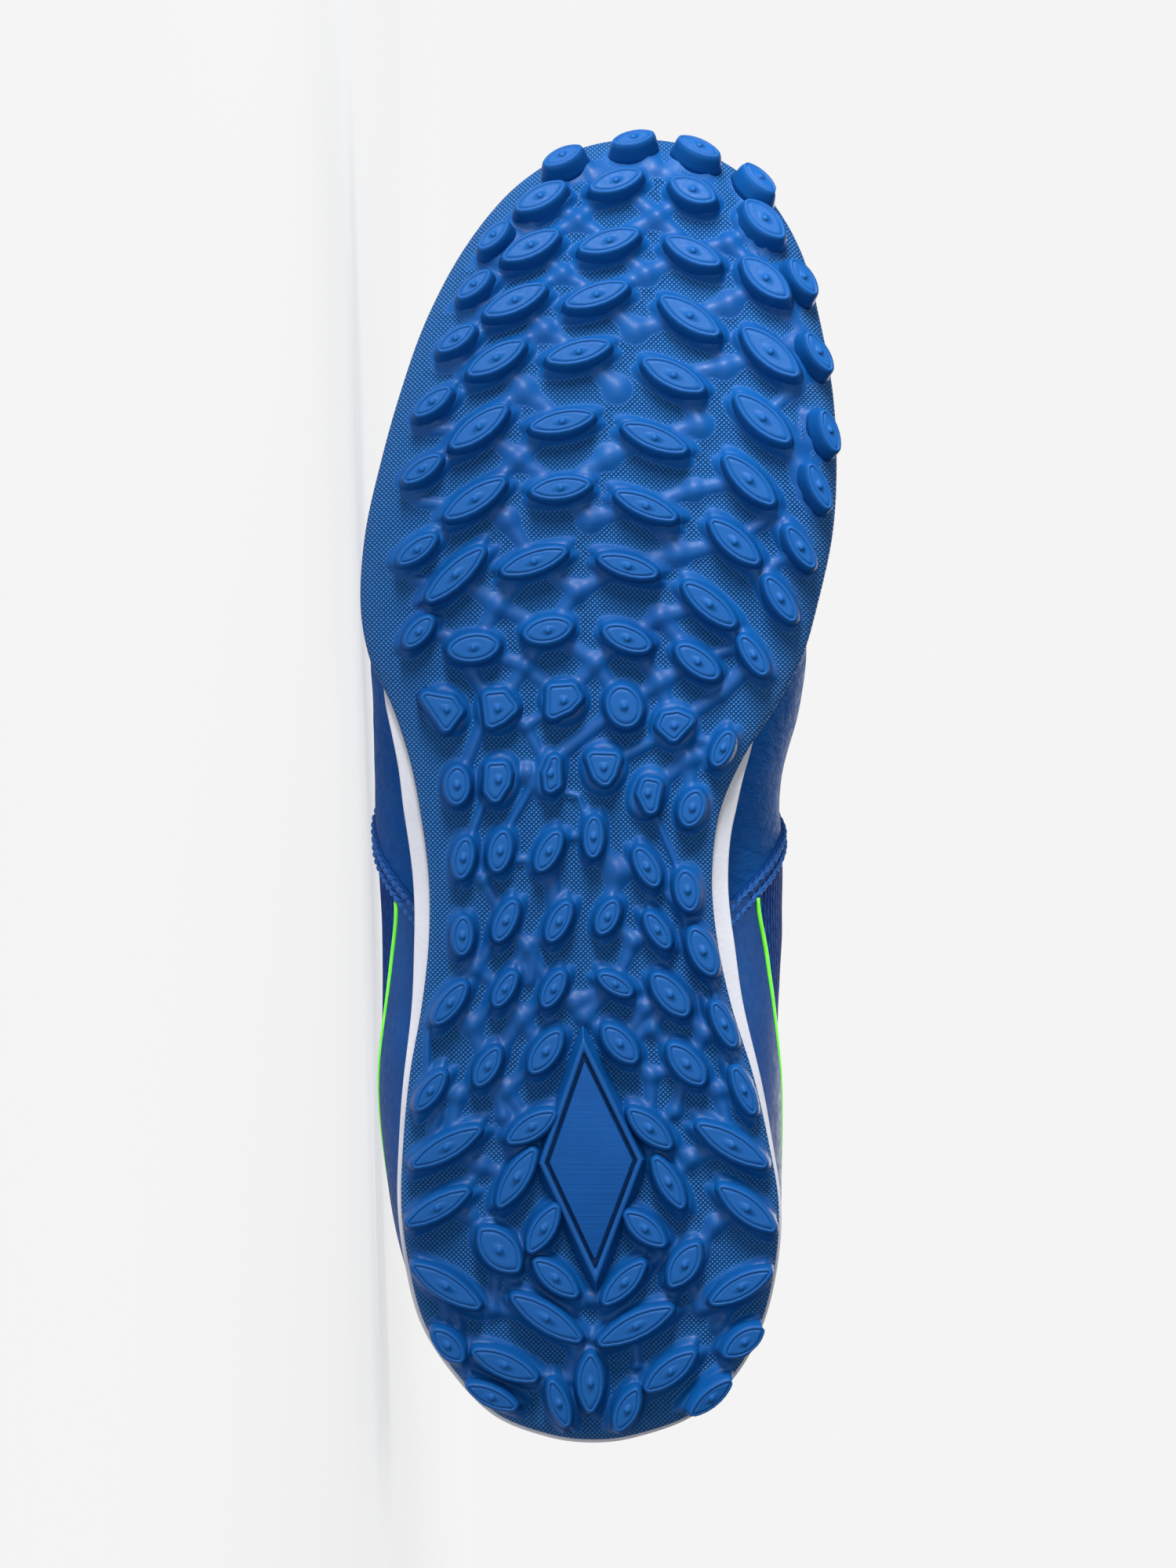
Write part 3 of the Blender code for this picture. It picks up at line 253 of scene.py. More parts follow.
# Single ribs from place to place, in chart units, with their half width
RIBS = table("across down to_across to_down width", [
    (548, 806, 590, 818, 9), (590, 838, 622, 890, 9), (904, 838, 950, 822, 8), (955, 850, 918, 886, 10),
    (918, 886, 880, 912, 9), (880, 938, 908, 950, 7), (615, 922, 592, 982, 8), (775, 915, 715, 962, 9),
    (846, 938, 794, 966, 8), (672, 986, 680, 1000, 11), (680, 1000, 640, 1070, 6), (622, 1010, 597, 1076, 6),
    (711, 1008, 738, 1016, 4), (738, 1016, 748, 1046, 4), (712, 1070, 752, 1064, 6),
    (650, 1097, 688, 1097, 6), (836, 1040, 866, 1112, 5), (702, 1105, 708, 1155, 10),
    (842, 1128, 884, 1190, 5), (900, 1245, 928, 1285, 5), (679, 1215, 676, 1250, 9),
    (560, 1420, 552, 1440, 8), (569, 1665, 571, 1695, 7), (753, 1700, 753, 1735, 8),
    (545, 1300, 545, 1370, 5), (1000, 395, 1030, 425, 8), (600, 340, 615, 330, 8), (570, 395, 600, 385, 8),
    (560, 470, 590, 462, 8), (545, 550, 575, 548, 8), (535, 640, 570, 645, 8), (530, 740, 548, 745, 8),
    (655, 275, 640, 290, 8),
])

# The web's height in metres and its blend, its arms' width and reach in chart units, and shares of widths
WEB_HEIGHT = 0.0017
WEB_BLEND = 3
WEB_SPREAD = 1.55
WEB_ROUNDNESS = 1.4
ARM_WIDTH = 7.5
ARM_REACH = 75
ARM_START = 0.80
KNOT_SPREAD = 1.1

# Heights of knots, arms and ribs as shares of the web's
KNOT_SHARE = 0.85
ARM_SHARE = 0.68
RIB_SHARE = 0.78

# The diamond in the heel, in chart units, and how far the gap's and the rim's edges lie outside its plate
DIAMOND = [(746, 1356), (701, 1483), (759, 1605), (807, 1480)]
DIAMOND_MIDDLE = (753, 1481)
RIM_START = 0.00085
RIM_END = 0.00215
GAP_DEPTH = 0.0026
DIAMOND_ROUNDNESS = 1.5

# Eyelets and laces: sections and levels up the upper's side, and sizes in metres
EYELET_SECTIONS = [10.4, 11.5, 12.5, 13.5, 14.4, 15.1]
EYELET_LEVEL = 0.90
LACE_STAGGER = 0.0004
LACE_LEAN = 0.15
LACE_SINK = 0.0004
LACE_STEPS = 40
LACE_CORNERS = 14
EYELET_STEP = 0.012
EYELET_RADIUS = 0.0024
EYELET_ROUND = 0.0006
EYELET_RISE = 0.0005
RIDGE_LEVEL = 0.999

# The tongue: its arch over the throat, and its free end behind the throat, in metres
TONGUE_ARCH = 0.0012
TONGUE_END = table("back up half", [
    (0.007, 0.0040, 0.0165), (0.013, 0.0085, 0.0170), (0.018, 0.0135, 0.0160), (0.021, 0.0175, 0.0120),
])
TONGUE_EDGE = table("share drop", [(1.0, 0.0050), (0.8, 0.0028), (0.5, 0.0008)])
TONGUE_SECTIONS = (17.5, 10.0)
TONGUE_LEVELS = (0.76, 0.86, 1.0)

# The overlays: sections where they end and levels of their edges, and the piping along the counter's edge
COUNTER_END = 10.6
COUNTER_FOOT = 0.03
COUNTER_THICKNESS = 0.75 * OVERLAY_THICKNESS
PIPING_STEP = 0.016
PIPING_LIFT = 0.00062
PIPING_RADIUS = 0.00052
EYESTAY_TOP = 0.985
EYESTAY_SECTIONS = (9.6, 17.2)


def smooth(keys, values, at):
    """A curve through a column's values that never swings past them."""
    steps = np.diff(keys)
    slopes = np.diff(values) / steps
    flat = slopes[:-1] * slopes[1:] <= 0
    inner = np.where(flat, 0.0, 2 * slopes[:-1] * slopes[1:] / np.where(flat, 1.0, slopes[:-1] + slopes[1:]))
    tangents = np.concatenate([[slopes[0]], inner, [slopes[-1]]])
    i = np.clip(np.searchsorted(keys, at, side="right") - 1, 0, len(keys) - 2)
    h = steps[i]
    t = (at - keys[i]) / h
    return (values[i] * (1 + 2 * t) * (1 - t) ** 2 + tangents[i] * h * t * (1 - t) ** 2
            + values[i + 1] * t ** 2 * (3 - 2 * t) - tangents[i + 1] * h * t ** 2 * (1 - t))


def spring(along):
    """How far the sole lies above its flat part: the toe spring and the bevel of the heel."""
    toe = np.clip((along / SOLE_LENGTH - SPRING_START) / (1 - SPRING_START), 0, None)
    heel = np.clip((BEVEL_END - along / SOLE_LENGTH) / BEVEL_END, 0, None)
    return TOE_SPRING * toe ** 2 + HEEL_BEVEL * heel ** 2


def from_chart(across, down, height):
    """The place at this height that the chart shows at (across, down)."""
    away = 1 + height / VIEW_DISTANCE
    x = -(across - CHART_MIDDLE[0]) / CHART_WIDTH * BALL_WIDTH * away
    y = SOLE_LENGTH * (MIDDLE_ALONG + (CHART_MIDDLE[1] - down) / CHART_LENGTH * away)
    return x, y


def on_ground(across, down):
    """Plan places of chart points on the ground of the sole."""
    _, y = from_chart(across, down, LUG_HEIGHT)
    return np.stack(from_chart(across, down, LUG_HEIGHT + spring(y)), axis=-1)


class Form:
    """The shoe's loops at a chosen fineness: places round the shoe, from the heel over the outer side."""

    def __init__(self, per_section):
        self.per_section = per_section
        self.half = per_section * LAST_SECTION
        self.loop = 2 * self.half
        self.place = np.arange(self.loop) / per_section
        self.section = np.minimum(self.place, 2 * LAST_SECTION - self.place)
        self.outer = self.place <= LAST_SECTION
        self.wall = self.round(EDGE, "wall_outer", "wall_inner")
        self.rise = self.round(EDGE, "rise")
        self.width = self.round(EDGE, "width")
        self.line, self.normal = self.outline()
        inner_rise = [RISE_SHARE * self.rise, WALL_SHARE * (self.wall - OUTSOLE_THICKNESS),
                      MIDSOLE_SHARE * self.round(MIDSOLE, "thickness")]
        self.inner_rise = np.minimum.reduce(inner_rise)
        self.midsole_top = OUTSOLE_THICKNESS + GAP + self.round(MIDSOLE, "thickness")
        covered = self.wall + 2 * GAP > self.midsole_top - 2 * MIDSOLE_BEVEL
        near = np.concatenate([covered[-per_section // 2:], covered, covered[:per_section // 2]])
        kernel = np.ones(2 * (per_section // 2) + 1)
        self.covered = np.convolve(near, kernel, mode="same")[per_section // 2:][:self.loop] > 0
        free = self.round(MIDSOLE, "out_outer", "out_inner")
        self.tucked = OUTSOLE_WALL + GAP
        self.side = np.where(self.covered, np.minimum(free, -self.tucked), free)
        self.feather_inset = np.maximum(MIDSOLE_BEVEL - self.side, self.tucked + GAP)
        self.feather = self.ring(self.feather_inset, self.midsole_top + GAP)
        self.top = self.top_line()
        self.control = self.belly_control()

    def round(self, rows, outer, inner=None):
        values = smooth(rows["section"], rows[outer], self.section)
        if inner is None:
            return values
        return np.where(self.outer, values, smooth(rows["section"], rows[inner], self.section))

    def outline(self):
        across = np.concatenate([OUTLINE["outer"], OUTLINE["inner"][-2:0:-1]])
        down = np.concatenate([OUTLINE["down"], OUTLINE["down"][-2:0:-1]])
        section = np.concatenate([OUTLINE["section"], OUTLINE["section"][-2:0:-1]])
        rise = smooth(EDGE["section"], EDGE["rise"], section)
        _, rough = from_chart(across, down, LUG_HEIGHT)
        rows = np.stack(from_chart(across, down, LUG_HEIGHT + spring(rough) + rise), axis=-1)
        i = np.floor(self.place).astype(int)
        t = (self.place - i)[:, None]
        before, start, end, after = (rows[(i + step) % len(rows)] for step in (-1, 0, 1, 2))
        points = 0.5 * (2 * start + (end - before) * t + (2 * before - 5 * start + 4 * end - after) * t ** 2
                        + (3 * start - before - 3 * end + after) * t ** 3)
        ahead = np.roll(points, -1, axis=0) - np.roll(points, 1, axis=0)
        normals = np.column_stack([ahead[:, 1], -ahead[:, 0]])
        return points, normals / np.linalg.norm(normals, axis=1)[:, None]

    def ring(self, inset, height):
        plan = self.line - self.normal * np.broadcast_to(inset, self.loop)[:, None]
        return np.column_stack([plan, LUG_HEIGHT + spring(plan[:, 1]) + height])

    def inner_round(self, degrees, clearance):
        angle = math.radians(degrees)
        inset = (self.width - OUTSOLE_WALL) * (1 - math.cos(angle))
        height = self.inner_rise * (1 - math.sin(angle))
        return self.ring(OUTSOLE_WALL + inset + clearance, OUTSOLE_THICKNESS + height + clearance)

    def top_line(self):
        side = np.where(self.outer, 1, -1)
        half = np.where(self.section >= THROAT_SECTION, 0, self.round(TOP, "half"))
        x = (self.round(TOP, "middle") + side * half) * BALL_WIDTH / 2
        y = self.round(TOP, "along") * SOLE_LENGTH
        return np.column_stack([x, y, self.round(TOP, "height") * EYELET_HEIGHT])

    def side_curve(self, control, level):
        level = np.broadcast_to(level, self.loop)[:, None]
        weights = ((1 - level) ** 3, 3 * level * (1 - level) ** 2, 3 * level ** 2 * (1 - level), level ** 3)
        rise = self.top[:, 2] - self.feather[:, 2]
        low = np.column_stack([control, self.feather[:, 2] + LOW_SHOULDER * rise])
        high = np.column_stack([control, self.feather[:, 2] + self.round(BELLY, "shoulder") * rise])
        return weights[0] * self.feather + weights[1] * low + weights[2] * high + weights[3] * self.top

    def belly_control(self):
        wanted = self.round(BELLY, "out_outer", "out_inner")
        control = self.line + self.normal * wanted[:, None]
        for _ in range(6):
            curves = np.stack([self.side_curve(control, level)[:, :2] for level in np.linspace(0, 1, 25)])
            reach = np.einsum("kij,ij->ki", curves - self.line, self.normal).max(axis=0)
            control = control + self.normal * (wanted - reach)[:, None]
        return control

    def surface(self, levels):
        """Points of the upper's outside at these levels, as (place, level, xyz)."""
        return np.stack([self.side_curve(self.control, level) for level in levels], axis=1)


def grid_normals(points):
    """Outward normals of a surface given as (place, level, xyz), closed round the places."""
    round_it = np.roll(points, -1, axis=0) - np.roll(points, 1, axis=0)
    up_it = np.gradient(points, axis=1)
    normals = np.cross(round_it, up_it)
    return normals / np.maximum(np.linalg.norm(normals, axis=2, keepdims=True), 1e-12)


LYING = np.array([
    [0, 0, 1],
    [math.sin(LYING_TURN), math.cos(LYING_TURN), 0],
    [-math.cos(LYING_TURN), math.sin(LYING_TURN), 0],
])


def to_world(points):
    return np.asarray(points) @ LYING.T + LYING_PLACE


SHOE_TO_WORLD = Matrix.Translation(LYING_PLACE) @ Matrix(LYING.tolist()).to_4x4()


def make(name, points, faces, finish, replaced=(), marks=None, sharp=None):
    """A piece of the shoe from points in the shoe's frame, with its place there kept for the material."""
    mesh = bpy.data.meshes.new(name)
    mesh.from_pydata(to_world(points).tolist(), [], [list(map(int, f)) for f in faces])
    mesh.update()
    mesh.calc_loop_triangles()
    corners = np.zeros(len(mesh.loop_triangles) * 3, dtype=np.int32)
    mesh.loop_triangles.foreach_get("vertices", corners)
    a, b, c = to_world(points)[corners.reshape(-1, 3)].transpose(1, 0, 2)
    if np.einsum("ij,ij->i", a, np.cross(b, c)).sum() < 0:
        mesh.flip_normals()
    mesh.shade_smooth()
    if sharp:
        mesh.set_sharp_from_angle(angle=math.radians(sharp))
    place = mesh.attributes.new("place", "FLOAT_VECTOR", "POINT")
    place.data.foreach_set("vector", np.asarray(points, dtype=np.float32).ravel())
    for key, values in (marks or {}).items():
        mark = mesh.attributes.new(key, "FLOAT", "POINT")
        mark.data.foreach_set("value", np.asarray(values, dtype=np.float32).ravel())
    item = bpy.data.objects.new(name, mesh)
    bpy.context.scene.collection.objects.link(item)
    mesh.materials.append(finish)
    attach(item, "root")
    if replaced:
        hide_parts(*replaced)
    return item


def strip_faces(rows, columns, start=0):
    """Quads of a grid with its points row by row, closed along each row."""
    i, j = np.meshgrid(np.arange(rows - 1) * columns, np.arange(columns), indexing="ij")
    k = (j + 1) % columns
    quads = np.stack([i + j, i + k, i + columns + k, i + columns + j], axis=-1)
    return (quads.reshape(-1, 4) + start).tolist()


def capped_strip(rows, columns, start=0):
    """The quads of such a grid, and one face over each of its ends."""
    first = list(range(start, start + columns))
    last = [v + (rows - 1) * columns for v in first]
    return [*strip_faces(rows, columns, start), first[::-1], last]


def looped_strip(rows, columns):
    """The quads of such a grid whose last row joins its first."""
    last = (rows - 1) * columns
    pairs = [(j, (j + 1) % columns) for j in range(columns)]
    return [*strip_faces(rows, columns), *([last + j, last + k, k, j] for j, k in pairs)]


def chord_faces(start, count):
    """A flat end across a loop of the sole, from its outer to its inner side."""
    half = count // 2
    faces = [(start, start + 1, start + count - 1)]
    for i in range(1, half - 1):
        faces.append((start + i, start + i + 1, start + count - i - 1, start + count - i))
    faces.append((start + half - 1, start + half, start + half + 1))
    return faces


def layered(loops):
    """Points and faces of a solid with these loops round it, from one flat end to the other."""
    count = len(loops[0])
    ends = chord_faces(0, count) + chord_faces((len(loops) - 1) * count, count)
    return np.concatenate(loops), strip_faces(len(loops), count) + ends


class Finish:
    """A material whose nodes are wired in short calls."""

    def __init__(self, name, colour, roughness, **sockets):
        self.item = bpy.data.materials.new(name)
        self.item.use_nodes = True
        self.nodes = self.item.node_tree.nodes
        self.links = self.item.node_tree.links
        self.shader = self.nodes["Principled BSDF"]
        self.shader.inputs["Base Color"].default_value = (*colour, 1)
        self.shader.inputs["Roughness"].default_value = roughness
        for socket, value in sockets.items():
            self.shader.inputs[socket.replace("_", " ")].default_value = value

    def node(self, kind, inputs=None, **settings):
        node = self.nodes.new(kind)
        for key, value in settings.items():
            setattr(node, key, value)
        for key, value in (inputs or {}).items():
            self.feed(node.inputs[key], value)
        return node

    def feed(self, socket, value):
        if isinstance(value, bpy.types.NodeSocket):
            self.links.new(value, socket)
        elif isinstance(value, (tuple, list)) and len(value) == 3 and socket.type == "RGBA":
            socket.default_value = (*value, 1)
        else:
            socket.default_value = value

    def mark(self, name):
        return self.node("ShaderNodeAttribute", attribute_name=name).outputs["Fac"]

    def place(self):
        return self.node("ShaderNodeAttribute", attribute_name="place").outputs["Vector"]

    def stretched(self, scale, turn=0.0):
        mapping = self.node("ShaderNodeMapping", {"Vector": self.place(), "Scale": scale})
        mapping.inputs["Rotation"].default_value = (0, 0, turn)
        return mapping.outputs["Vector"]

    def math(self, operation, a, b=0.0):
        return self.node("ShaderNodeMath", {0: a, 1: b}, operation=operation).outputs[0]

    def noise(self, scale, detail=2.0, vector=None, roughness=0.5):
        inputs = {"Vector": vector or self.place(), "Scale": scale, "Detail": detail, "Roughness": roughness}
        return self.node("ShaderNodeTexNoise", inputs).outputs["Fac"]

    def cells(self, scale, vector=None, feature="F1"):
        inputs = {"Vector": vector or self.place(), "Scale": scale}
        return self.node("ShaderNodeTexVoronoi", inputs, feature=feature).outputs["Distance"]

    def spread(self, value, low, high, to_low=0.0, to_high=1.0):
        inputs = {"Value": value, "From Min": low, "From Max": high, "To Min": to_low, "To Max": to_high}
        return self.node("ShaderNodeMapRange", inputs).outputs["Result"]

    def mix(self, share, a, b):
        node = self.node("ShaderNodeMix", data_type="RGBA")
        self.feed(node.inputs["Factor"], share)
        self.feed(node.inputs[6], a)
        self.feed(node.inputs[7], b)
        return node.outputs[2]

    def colour(self, value):
        self.feed(self.shader.inputs["Base Color"], value)

    def roughness(self, value):
        self.feed(self.shader.inputs["Roughness"], value)

    def bumps(self, *layers):
        """Layers of (height, strength, depth in metres), the coarsest first."""
        normal = None
        for height, strength, depth in layers:
            node = self.node("ShaderNodeBump", {"Height": height, "Strength": strength, "Distance": depth})
            if normal is not None:
                self.links.new(normal, node.inputs["Normal"])
            normal = node.outputs["Normal"]
        self.links.new(normal, self.shader.inputs["Normal"])


def linear(red, green, blue):
    """A colour given in screen values from 0 to 255."""
    shares = (red / 255, green / 255, blue / 255)
    return tuple(((v + 0.055) / 1.055) ** 2.4 if v > 0.04 else v / 12.92 for v in shares)


KNURL_PITCH = 0.00072


def knurl(finish):
    """A crosshatch at 45 degrees: small diamonds between two crossing families of grooves."""
    x, y, _ = (finish.node("ShaderNodeSeparateXYZ", {"Vector": finish.place()}).outputs[k] for k in range(3))
    turns = math.pi / KNURL_PITCH * math.sqrt(0.5)
    along = finish.math("SINE", finish.math("MULTIPLY", finish.math("ADD", x, y), turns))
    against = finish.math("SINE", finish.math("MULTIPLY", finish.math("SUBTRACT", x, y), turns))
    return finish.math("MULTIPLY", finish.math("ABSOLUTE", along), finish.math("ABSOLUTE", against))


def rubber_finish():
    finish = Finish("blue_rubber", linear(3, 72, 138), 0.48, Specular_IOR_Level=0.20)
    web = finish.mark("web")
    face = finish.mark("face")
    ground = finish.math("SUBTRACT", 1.0, finish.spread(web, 0.10, 0.32))
    cloudy = finish.noise(45.0, 3.0)
    dust = finish.noise(420.0, 4.0)
    plain = finish.mix(finish.spread(cloudy, 0.3, 0.7), linear(2, 64, 126), linear(4, 74, 138))
    diamonds = knurl(finish)
    # Painted light and shade: the knurl's diamond tops are painted lighter and its grooves darker, on top of
    # the bump that shapes them. The ground between the webs mostly takes this colour.
    lit = finish.mix(finish.spread(diamonds, 0.05, 0.75), linear(1, 46, 102), linear(40, 112, 176))
    body = finish.mix(finish.math("MULTIPLY", ground, 0.85), plain, lit)
    faces = finish.mix(face, body, linear(4, 75, 140))
    finish.colour(finish.mix(finish.spread(dust, 0.60, 0.85, 0.0, 0.10), faces, linear(60, 110, 165)))
    rough = finish.math("ADD", finish.spread(finish.noise(900.0, 3.0), 0.3, 0.7, 0.40, 0.54),
                        finish.math("MULTIPLY", finish.math("MAXIMUM", ground, face), 0.10))
    finish.roughness(rough)
    matt = finish.math("ADD", finish.math("MULTIPLY", face, 0.9), 0.25)
    grain = finish.math("MULTIPLY", finish.noise(3200.0, 2.0), matt)
    finish.bumps(
        (finish.noise(260.0, 2.0), 0.25, 0.00012),
        (finish.math("MULTIPLY", diamonds, ground), 1.0, 0.00038),
        (grain, 0.8, 0.00005),
    )
    return finish.item


def foam_finish():
    finish = Finish("white_foam", linear(214, 214, 222), 0.55)
    shade = finish.noise(60.0, 3.0)
    finish.colour(finish.mix(finish.spread(shade, 0.3, 0.7), linear(184, 186, 196), linear(200, 201, 208)))
    finish.roughness(finish.spread(finish.noise(500.0), 0.3, 0.7, 0.48, 0.64))
    pebbles = finish.cells(1150.0, feature="SMOOTH_F1")
    creases = finish.noise(190.0, 4.0, finish.stretched((1.0, 0.45, 1.6)))
    finish.bumps((creases, 0.5, 0.00020), (pebbles, 0.45, 0.00012))
    return finish.item


def leather_finish():
    """Grained synthetic in front of the seam, ribbed knit behind it."""
    finish = Finish("blue_synthetic", linear(3, 70, 140), 0.6, Specular_IOR_Level=0.06)
    knit = finish.mark("knit")
    shade = finish.noise(38.0, 4.0)
    skin = finish.mix(finish.spread(shade, 0.3, 0.7), linear(2, 66, 134), linear(5, 78, 148))
    rows = {"Vector": finish.stretched((1, 1, 1)), "Scale": 210.0, "Distortion": 0.6, "Detail": 1.0}
    ribs = finish.node("ShaderNodeTexWave", rows, bands_direction="Z").outputs["Fac"]
    loops = finish.cells(900.0, finish.stretched((1.0, 0.7, 1.0)))
    threads = finish.math("MULTIPLY", ribs, finish.spread(loops, 0.1, 0.7, 1.0, 0.3))
    yarn = finish.mix(finish.spread(threads, 0.05, 0.8),
                      linear(1, 36, 96), linear(18, 84, 168))
    wear = finish.spread(finish.noise(130.0, 5.0), 0.62, 0.8, 0.0, 0.25)
    finish.colour(finish.mix(knit, finish.mix(wear, skin, linear(24, 90, 158)), yarn))
    finish.roughness(finish.math("ADD", finish.spread(finish.noise(700.0), 0.3, 0.7, 0.52, 0.68),
                                 finish.math("MULTIPLY", knit, 0.20)))
    leather = finish.math("SUBTRACT", 1.0, knit)
    wrinkles = finish.noise(150.0, 5.0, finish.stretched((1.0, 2.4, 1.0)), 0.6)
    wrinkles = finish.math("MULTIPLY", wrinkles, leather)
    grain = finish.cells(1050.0, finish.stretched((1.0, 1.6, 1.0)), "SMOOTH_F1")
    grain = finish.math("MULTIPLY", grain, leather)
    weave = finish.math("MULTIPLY", finish.math("ADD", ribs, finish.spread(loops, 0.0, 0.6, 1.0, 0.0)), knit)
    finish.bumps((wrinkles, 1.0, 0.00110), (grain, 0.5, 0.00010), (weave, 0.9, 0.00035))
    return finish.item


def panel_finish(name, light, dark, smoothness, grain_shape=(1.0, 1.0, 0.35)):
    """A smooth coated panel with a faint long grain."""
    finish = Finish(name, light, smoothness, Specular_IOR_Level=0.14)
    shade = finish.noise(55.0, 3.0)
    finish.colour(finish.mix(finish.spread(shade, 0.3, 0.7), dark, light))
    finish.roughness(finish.spread(finish.noise(600.0), 0.3, 0.7, smoothness - 0.06, smoothness + 0.10))
    grain = finish.noise(420.0, 4.0, finish.stretched(grain_shape))
    finish.bumps((grain, 0.55, 0.00018), (finish.cells(1500.0, feature="SMOOTH_F1"), 0.30, 0.00006))
    return finish.item


def woven_finish(name, light, dark, scale, turn=0.0, roughness=0.8):
    """Cloth with a plain weave, seen from any side."""
    finish = Finish(name, light, roughness, Sheen_Weight=0.06)
    vector = finish.stretched((1, 1, 1), turn)
    x, y, z = (finish.node("ShaderNodeSeparateXYZ", {"Vector": vector}).outputs[k] for k in range(3))
    over = finish.math("SINE", finish.math("MULTIPLY", finish.math("ADD", x, z), scale))
    under = finish.math("SINE", finish.math("MULTIPLY", y, scale))
    weave = finish.math("MULTIPLY", over, under)
    fuzz = finish.noise(2600.0, 3.0)
    shade = finish.math("ADD", finish.spread(weave, -1.0, 1.0, 0.0, 0.7), finish.math("MULTIPLY", fuzz, 0.3))
    finish.colour(finish.mix(shade, dark, light))
    finish.roughness(finish.spread(fuzz, 0.3, 0.7, roughness - 0.08, roughness + 0.08))
    finish.bumps((finish.noise(120.0, 3.0), 0.4, 0.0004), (weave, 0.8, 0.00022), (fuzz, 0.5, 0.00008))
    return finish.item


def thread_finish():
    finish = Finish("blue_thread", linear(8, 72, 150), 0.6, Specular_IOR_Level=0.25)
    strands = finish.node("ShaderNodeTexWave", {"Vector": finish.stretched((1, 1, 1)), "Scale": 900.0,
                                                "Distortion": 1.0}, bands_direction="DIAGONAL").outputs["Fac"]
    finish.colour(finish.mix(strands, linear(8, 62, 134), linear(36, 106, 184)))
    finish.roughness(finish.spread(finish.noise(1500.0), 0.3, 0.7, 0.48, 0.66))
    finish.bumps((strands, 0.7, 0.00012),)
    return finish.item


def piping_finish():
    finish = Finish("green_piping", linear(118, 255, 62), 0.38, Coat_Weight=0.15, Coat_Roughness=0.3)
    shade = finish.noise(300.0, 3.0)
    finish.colour(finish.mix(finish.spread(shade, 0.3, 0.7), linear(104, 248, 50), linear(130, 255, 76)))
    finish.roughness(finish.spread(finish.noise(1200.0), 0.3, 0.7, 0.32, 0.46))
    finish.bumps((finish.noise(900.0, 3.0), 0.4, 0.00006),)
    return finish.item


def metal_finish():
    finish = Finish("dark_eyelet", linear(16, 58, 130), 0.30, Coat_Weight=0.3, Coat_Roughness=0.2)
    finish.roughness(finish.spread(finish.noise(800.0), 0.3, 0.7, 0.24, 0.40))
    finish.bumps((finish.noise(700.0, 3.0), 0.4, 0.00005),)
    return finish.item


RUBBER = rubber_finish()
FOAM = foam_finish()
LEATHER = leather_finish()
COUNTER = panel_finish("blue_panel", linear(2, 68, 134), linear(1, 58, 120), 0.5)
STAY = panel_finish("blue_stay", linear(5, 68, 138), linear(3, 58, 126), 0.48)
PLATE = panel_finish("blue_plate", linear(2, 70, 136), linear(1, 62, 124), 0.5, (0.12, 4.0, 1.0))
LINING = woven_finish("dark_lining", linear(16, 42, 92), linear(8, 24, 60), 5200.0)
PADDING = woven_finish("blue_padding", linear(20, 66, 148), linear(10, 40, 104), 4200.0)
CORD = woven_finish("blue_lace", linear(30, 92, 186), linear(12, 52, 130), 6400.0, math.radians(45))
THREAD = thread_finish()
PIPING = piping_finish()
METAL = metal_finish()

SOLE = Form(18)
BODY = Form(10)


def ground(x, y):
    """Height of the outsole's underside at (x, y), with its rounded edge."""
    distance = np.hypot(SOLE.line[:, 0] - x, SOLE.line[:, 1] - y)
    i = int(np.argmin(distance))
    depth = np.clip((SOLE.width[i] - distance[i]) / SOLE.width[i], 0, 1)
    return LUG_HEIGHT + float(spring(y)) + SOLE.rise[i] * (1 - math.sqrt(1 - depth ** 2))


def inside_outline(x, y, clearance):
    """The place moved to at least this far inside the outline."""
    away = np.array((x, y)) - SOLE.line
    i = int(np.argmin(np.hypot(away[:, 0], away[:, 1])))
    outside = float(away[i] @ SOLE.normal[i]) + clearance
    return np.array((x, y)) - SOLE.normal[i] * max(outside, 0.0)


def lug_frames():
    """Foot, direction out and the chart's two directions in the plane of each lug's face."""
    frames = []
    step = 0.001
    for across, down in zip(LUGS["across"], LUGS["down"]):
        x, y = from_chart(across, down, 0)
        for _ in range(8):
            slope_x = (ground(x + step, y) - ground(x - step, y)) / (2 * step)
            slope_y = (ground(x, y + step) - ground(x, y - step)) / (2 * step)
            out = np.array((slope_x, slope_y, -1))
            out = out / np.linalg.norm(out)
            base = np.array((x, y, ground(x, y)))
            face = base + out * LUG_HEIGHT
            seen_x, seen_y = from_chart(across, down, face[2])
            x, y = inside_outline(x + seen_x - face[0], y + seen_y - face[1], LUG_ROOT)
        right = np.array((-1.0, 0, 0))
        right = right - out * (right @ out)
        right = right / np.linalg.norm(right)
        below = np.cross(out, right)
        if below[1] > 0:
            below = -below
        frames.append((base, out, right, below))
    return frames


LUG_FRAMES = lug_frames()


def leaf_points(length, width, pointed, angles):
    """Points of a leaf whose edge faces each of these directions: between an ellipse and a lens."""
    a, b = length / 2, width / 2
    bend = np.hypot(a * np.cos(angles), b * np.sin(angles))
    ellipse = np.column_stack([a * a * np.cos(angles), b * b * np.sin(angles)]) / bend[:, None]
    radius = (a * a + b * b) / (2 * b)
    opening = math.asin(min(a / radius, 1.0))
    from_side = np.abs(np.arctan2(np.cos(angles), np.abs(np.sin(angles))))
    on_arc = from_side <= opening
    u = np.where(on_arc, radius * np.sin(from_side), a) * np.sign(np.cos(angles))
    v = np.where(on_arc, radius * np.cos(from_side) - (radius - b), 0) * np.sign(np.sin(angles))
    return pointed * np.column_stack([u, v]) + (1 - pointed) * ellipse


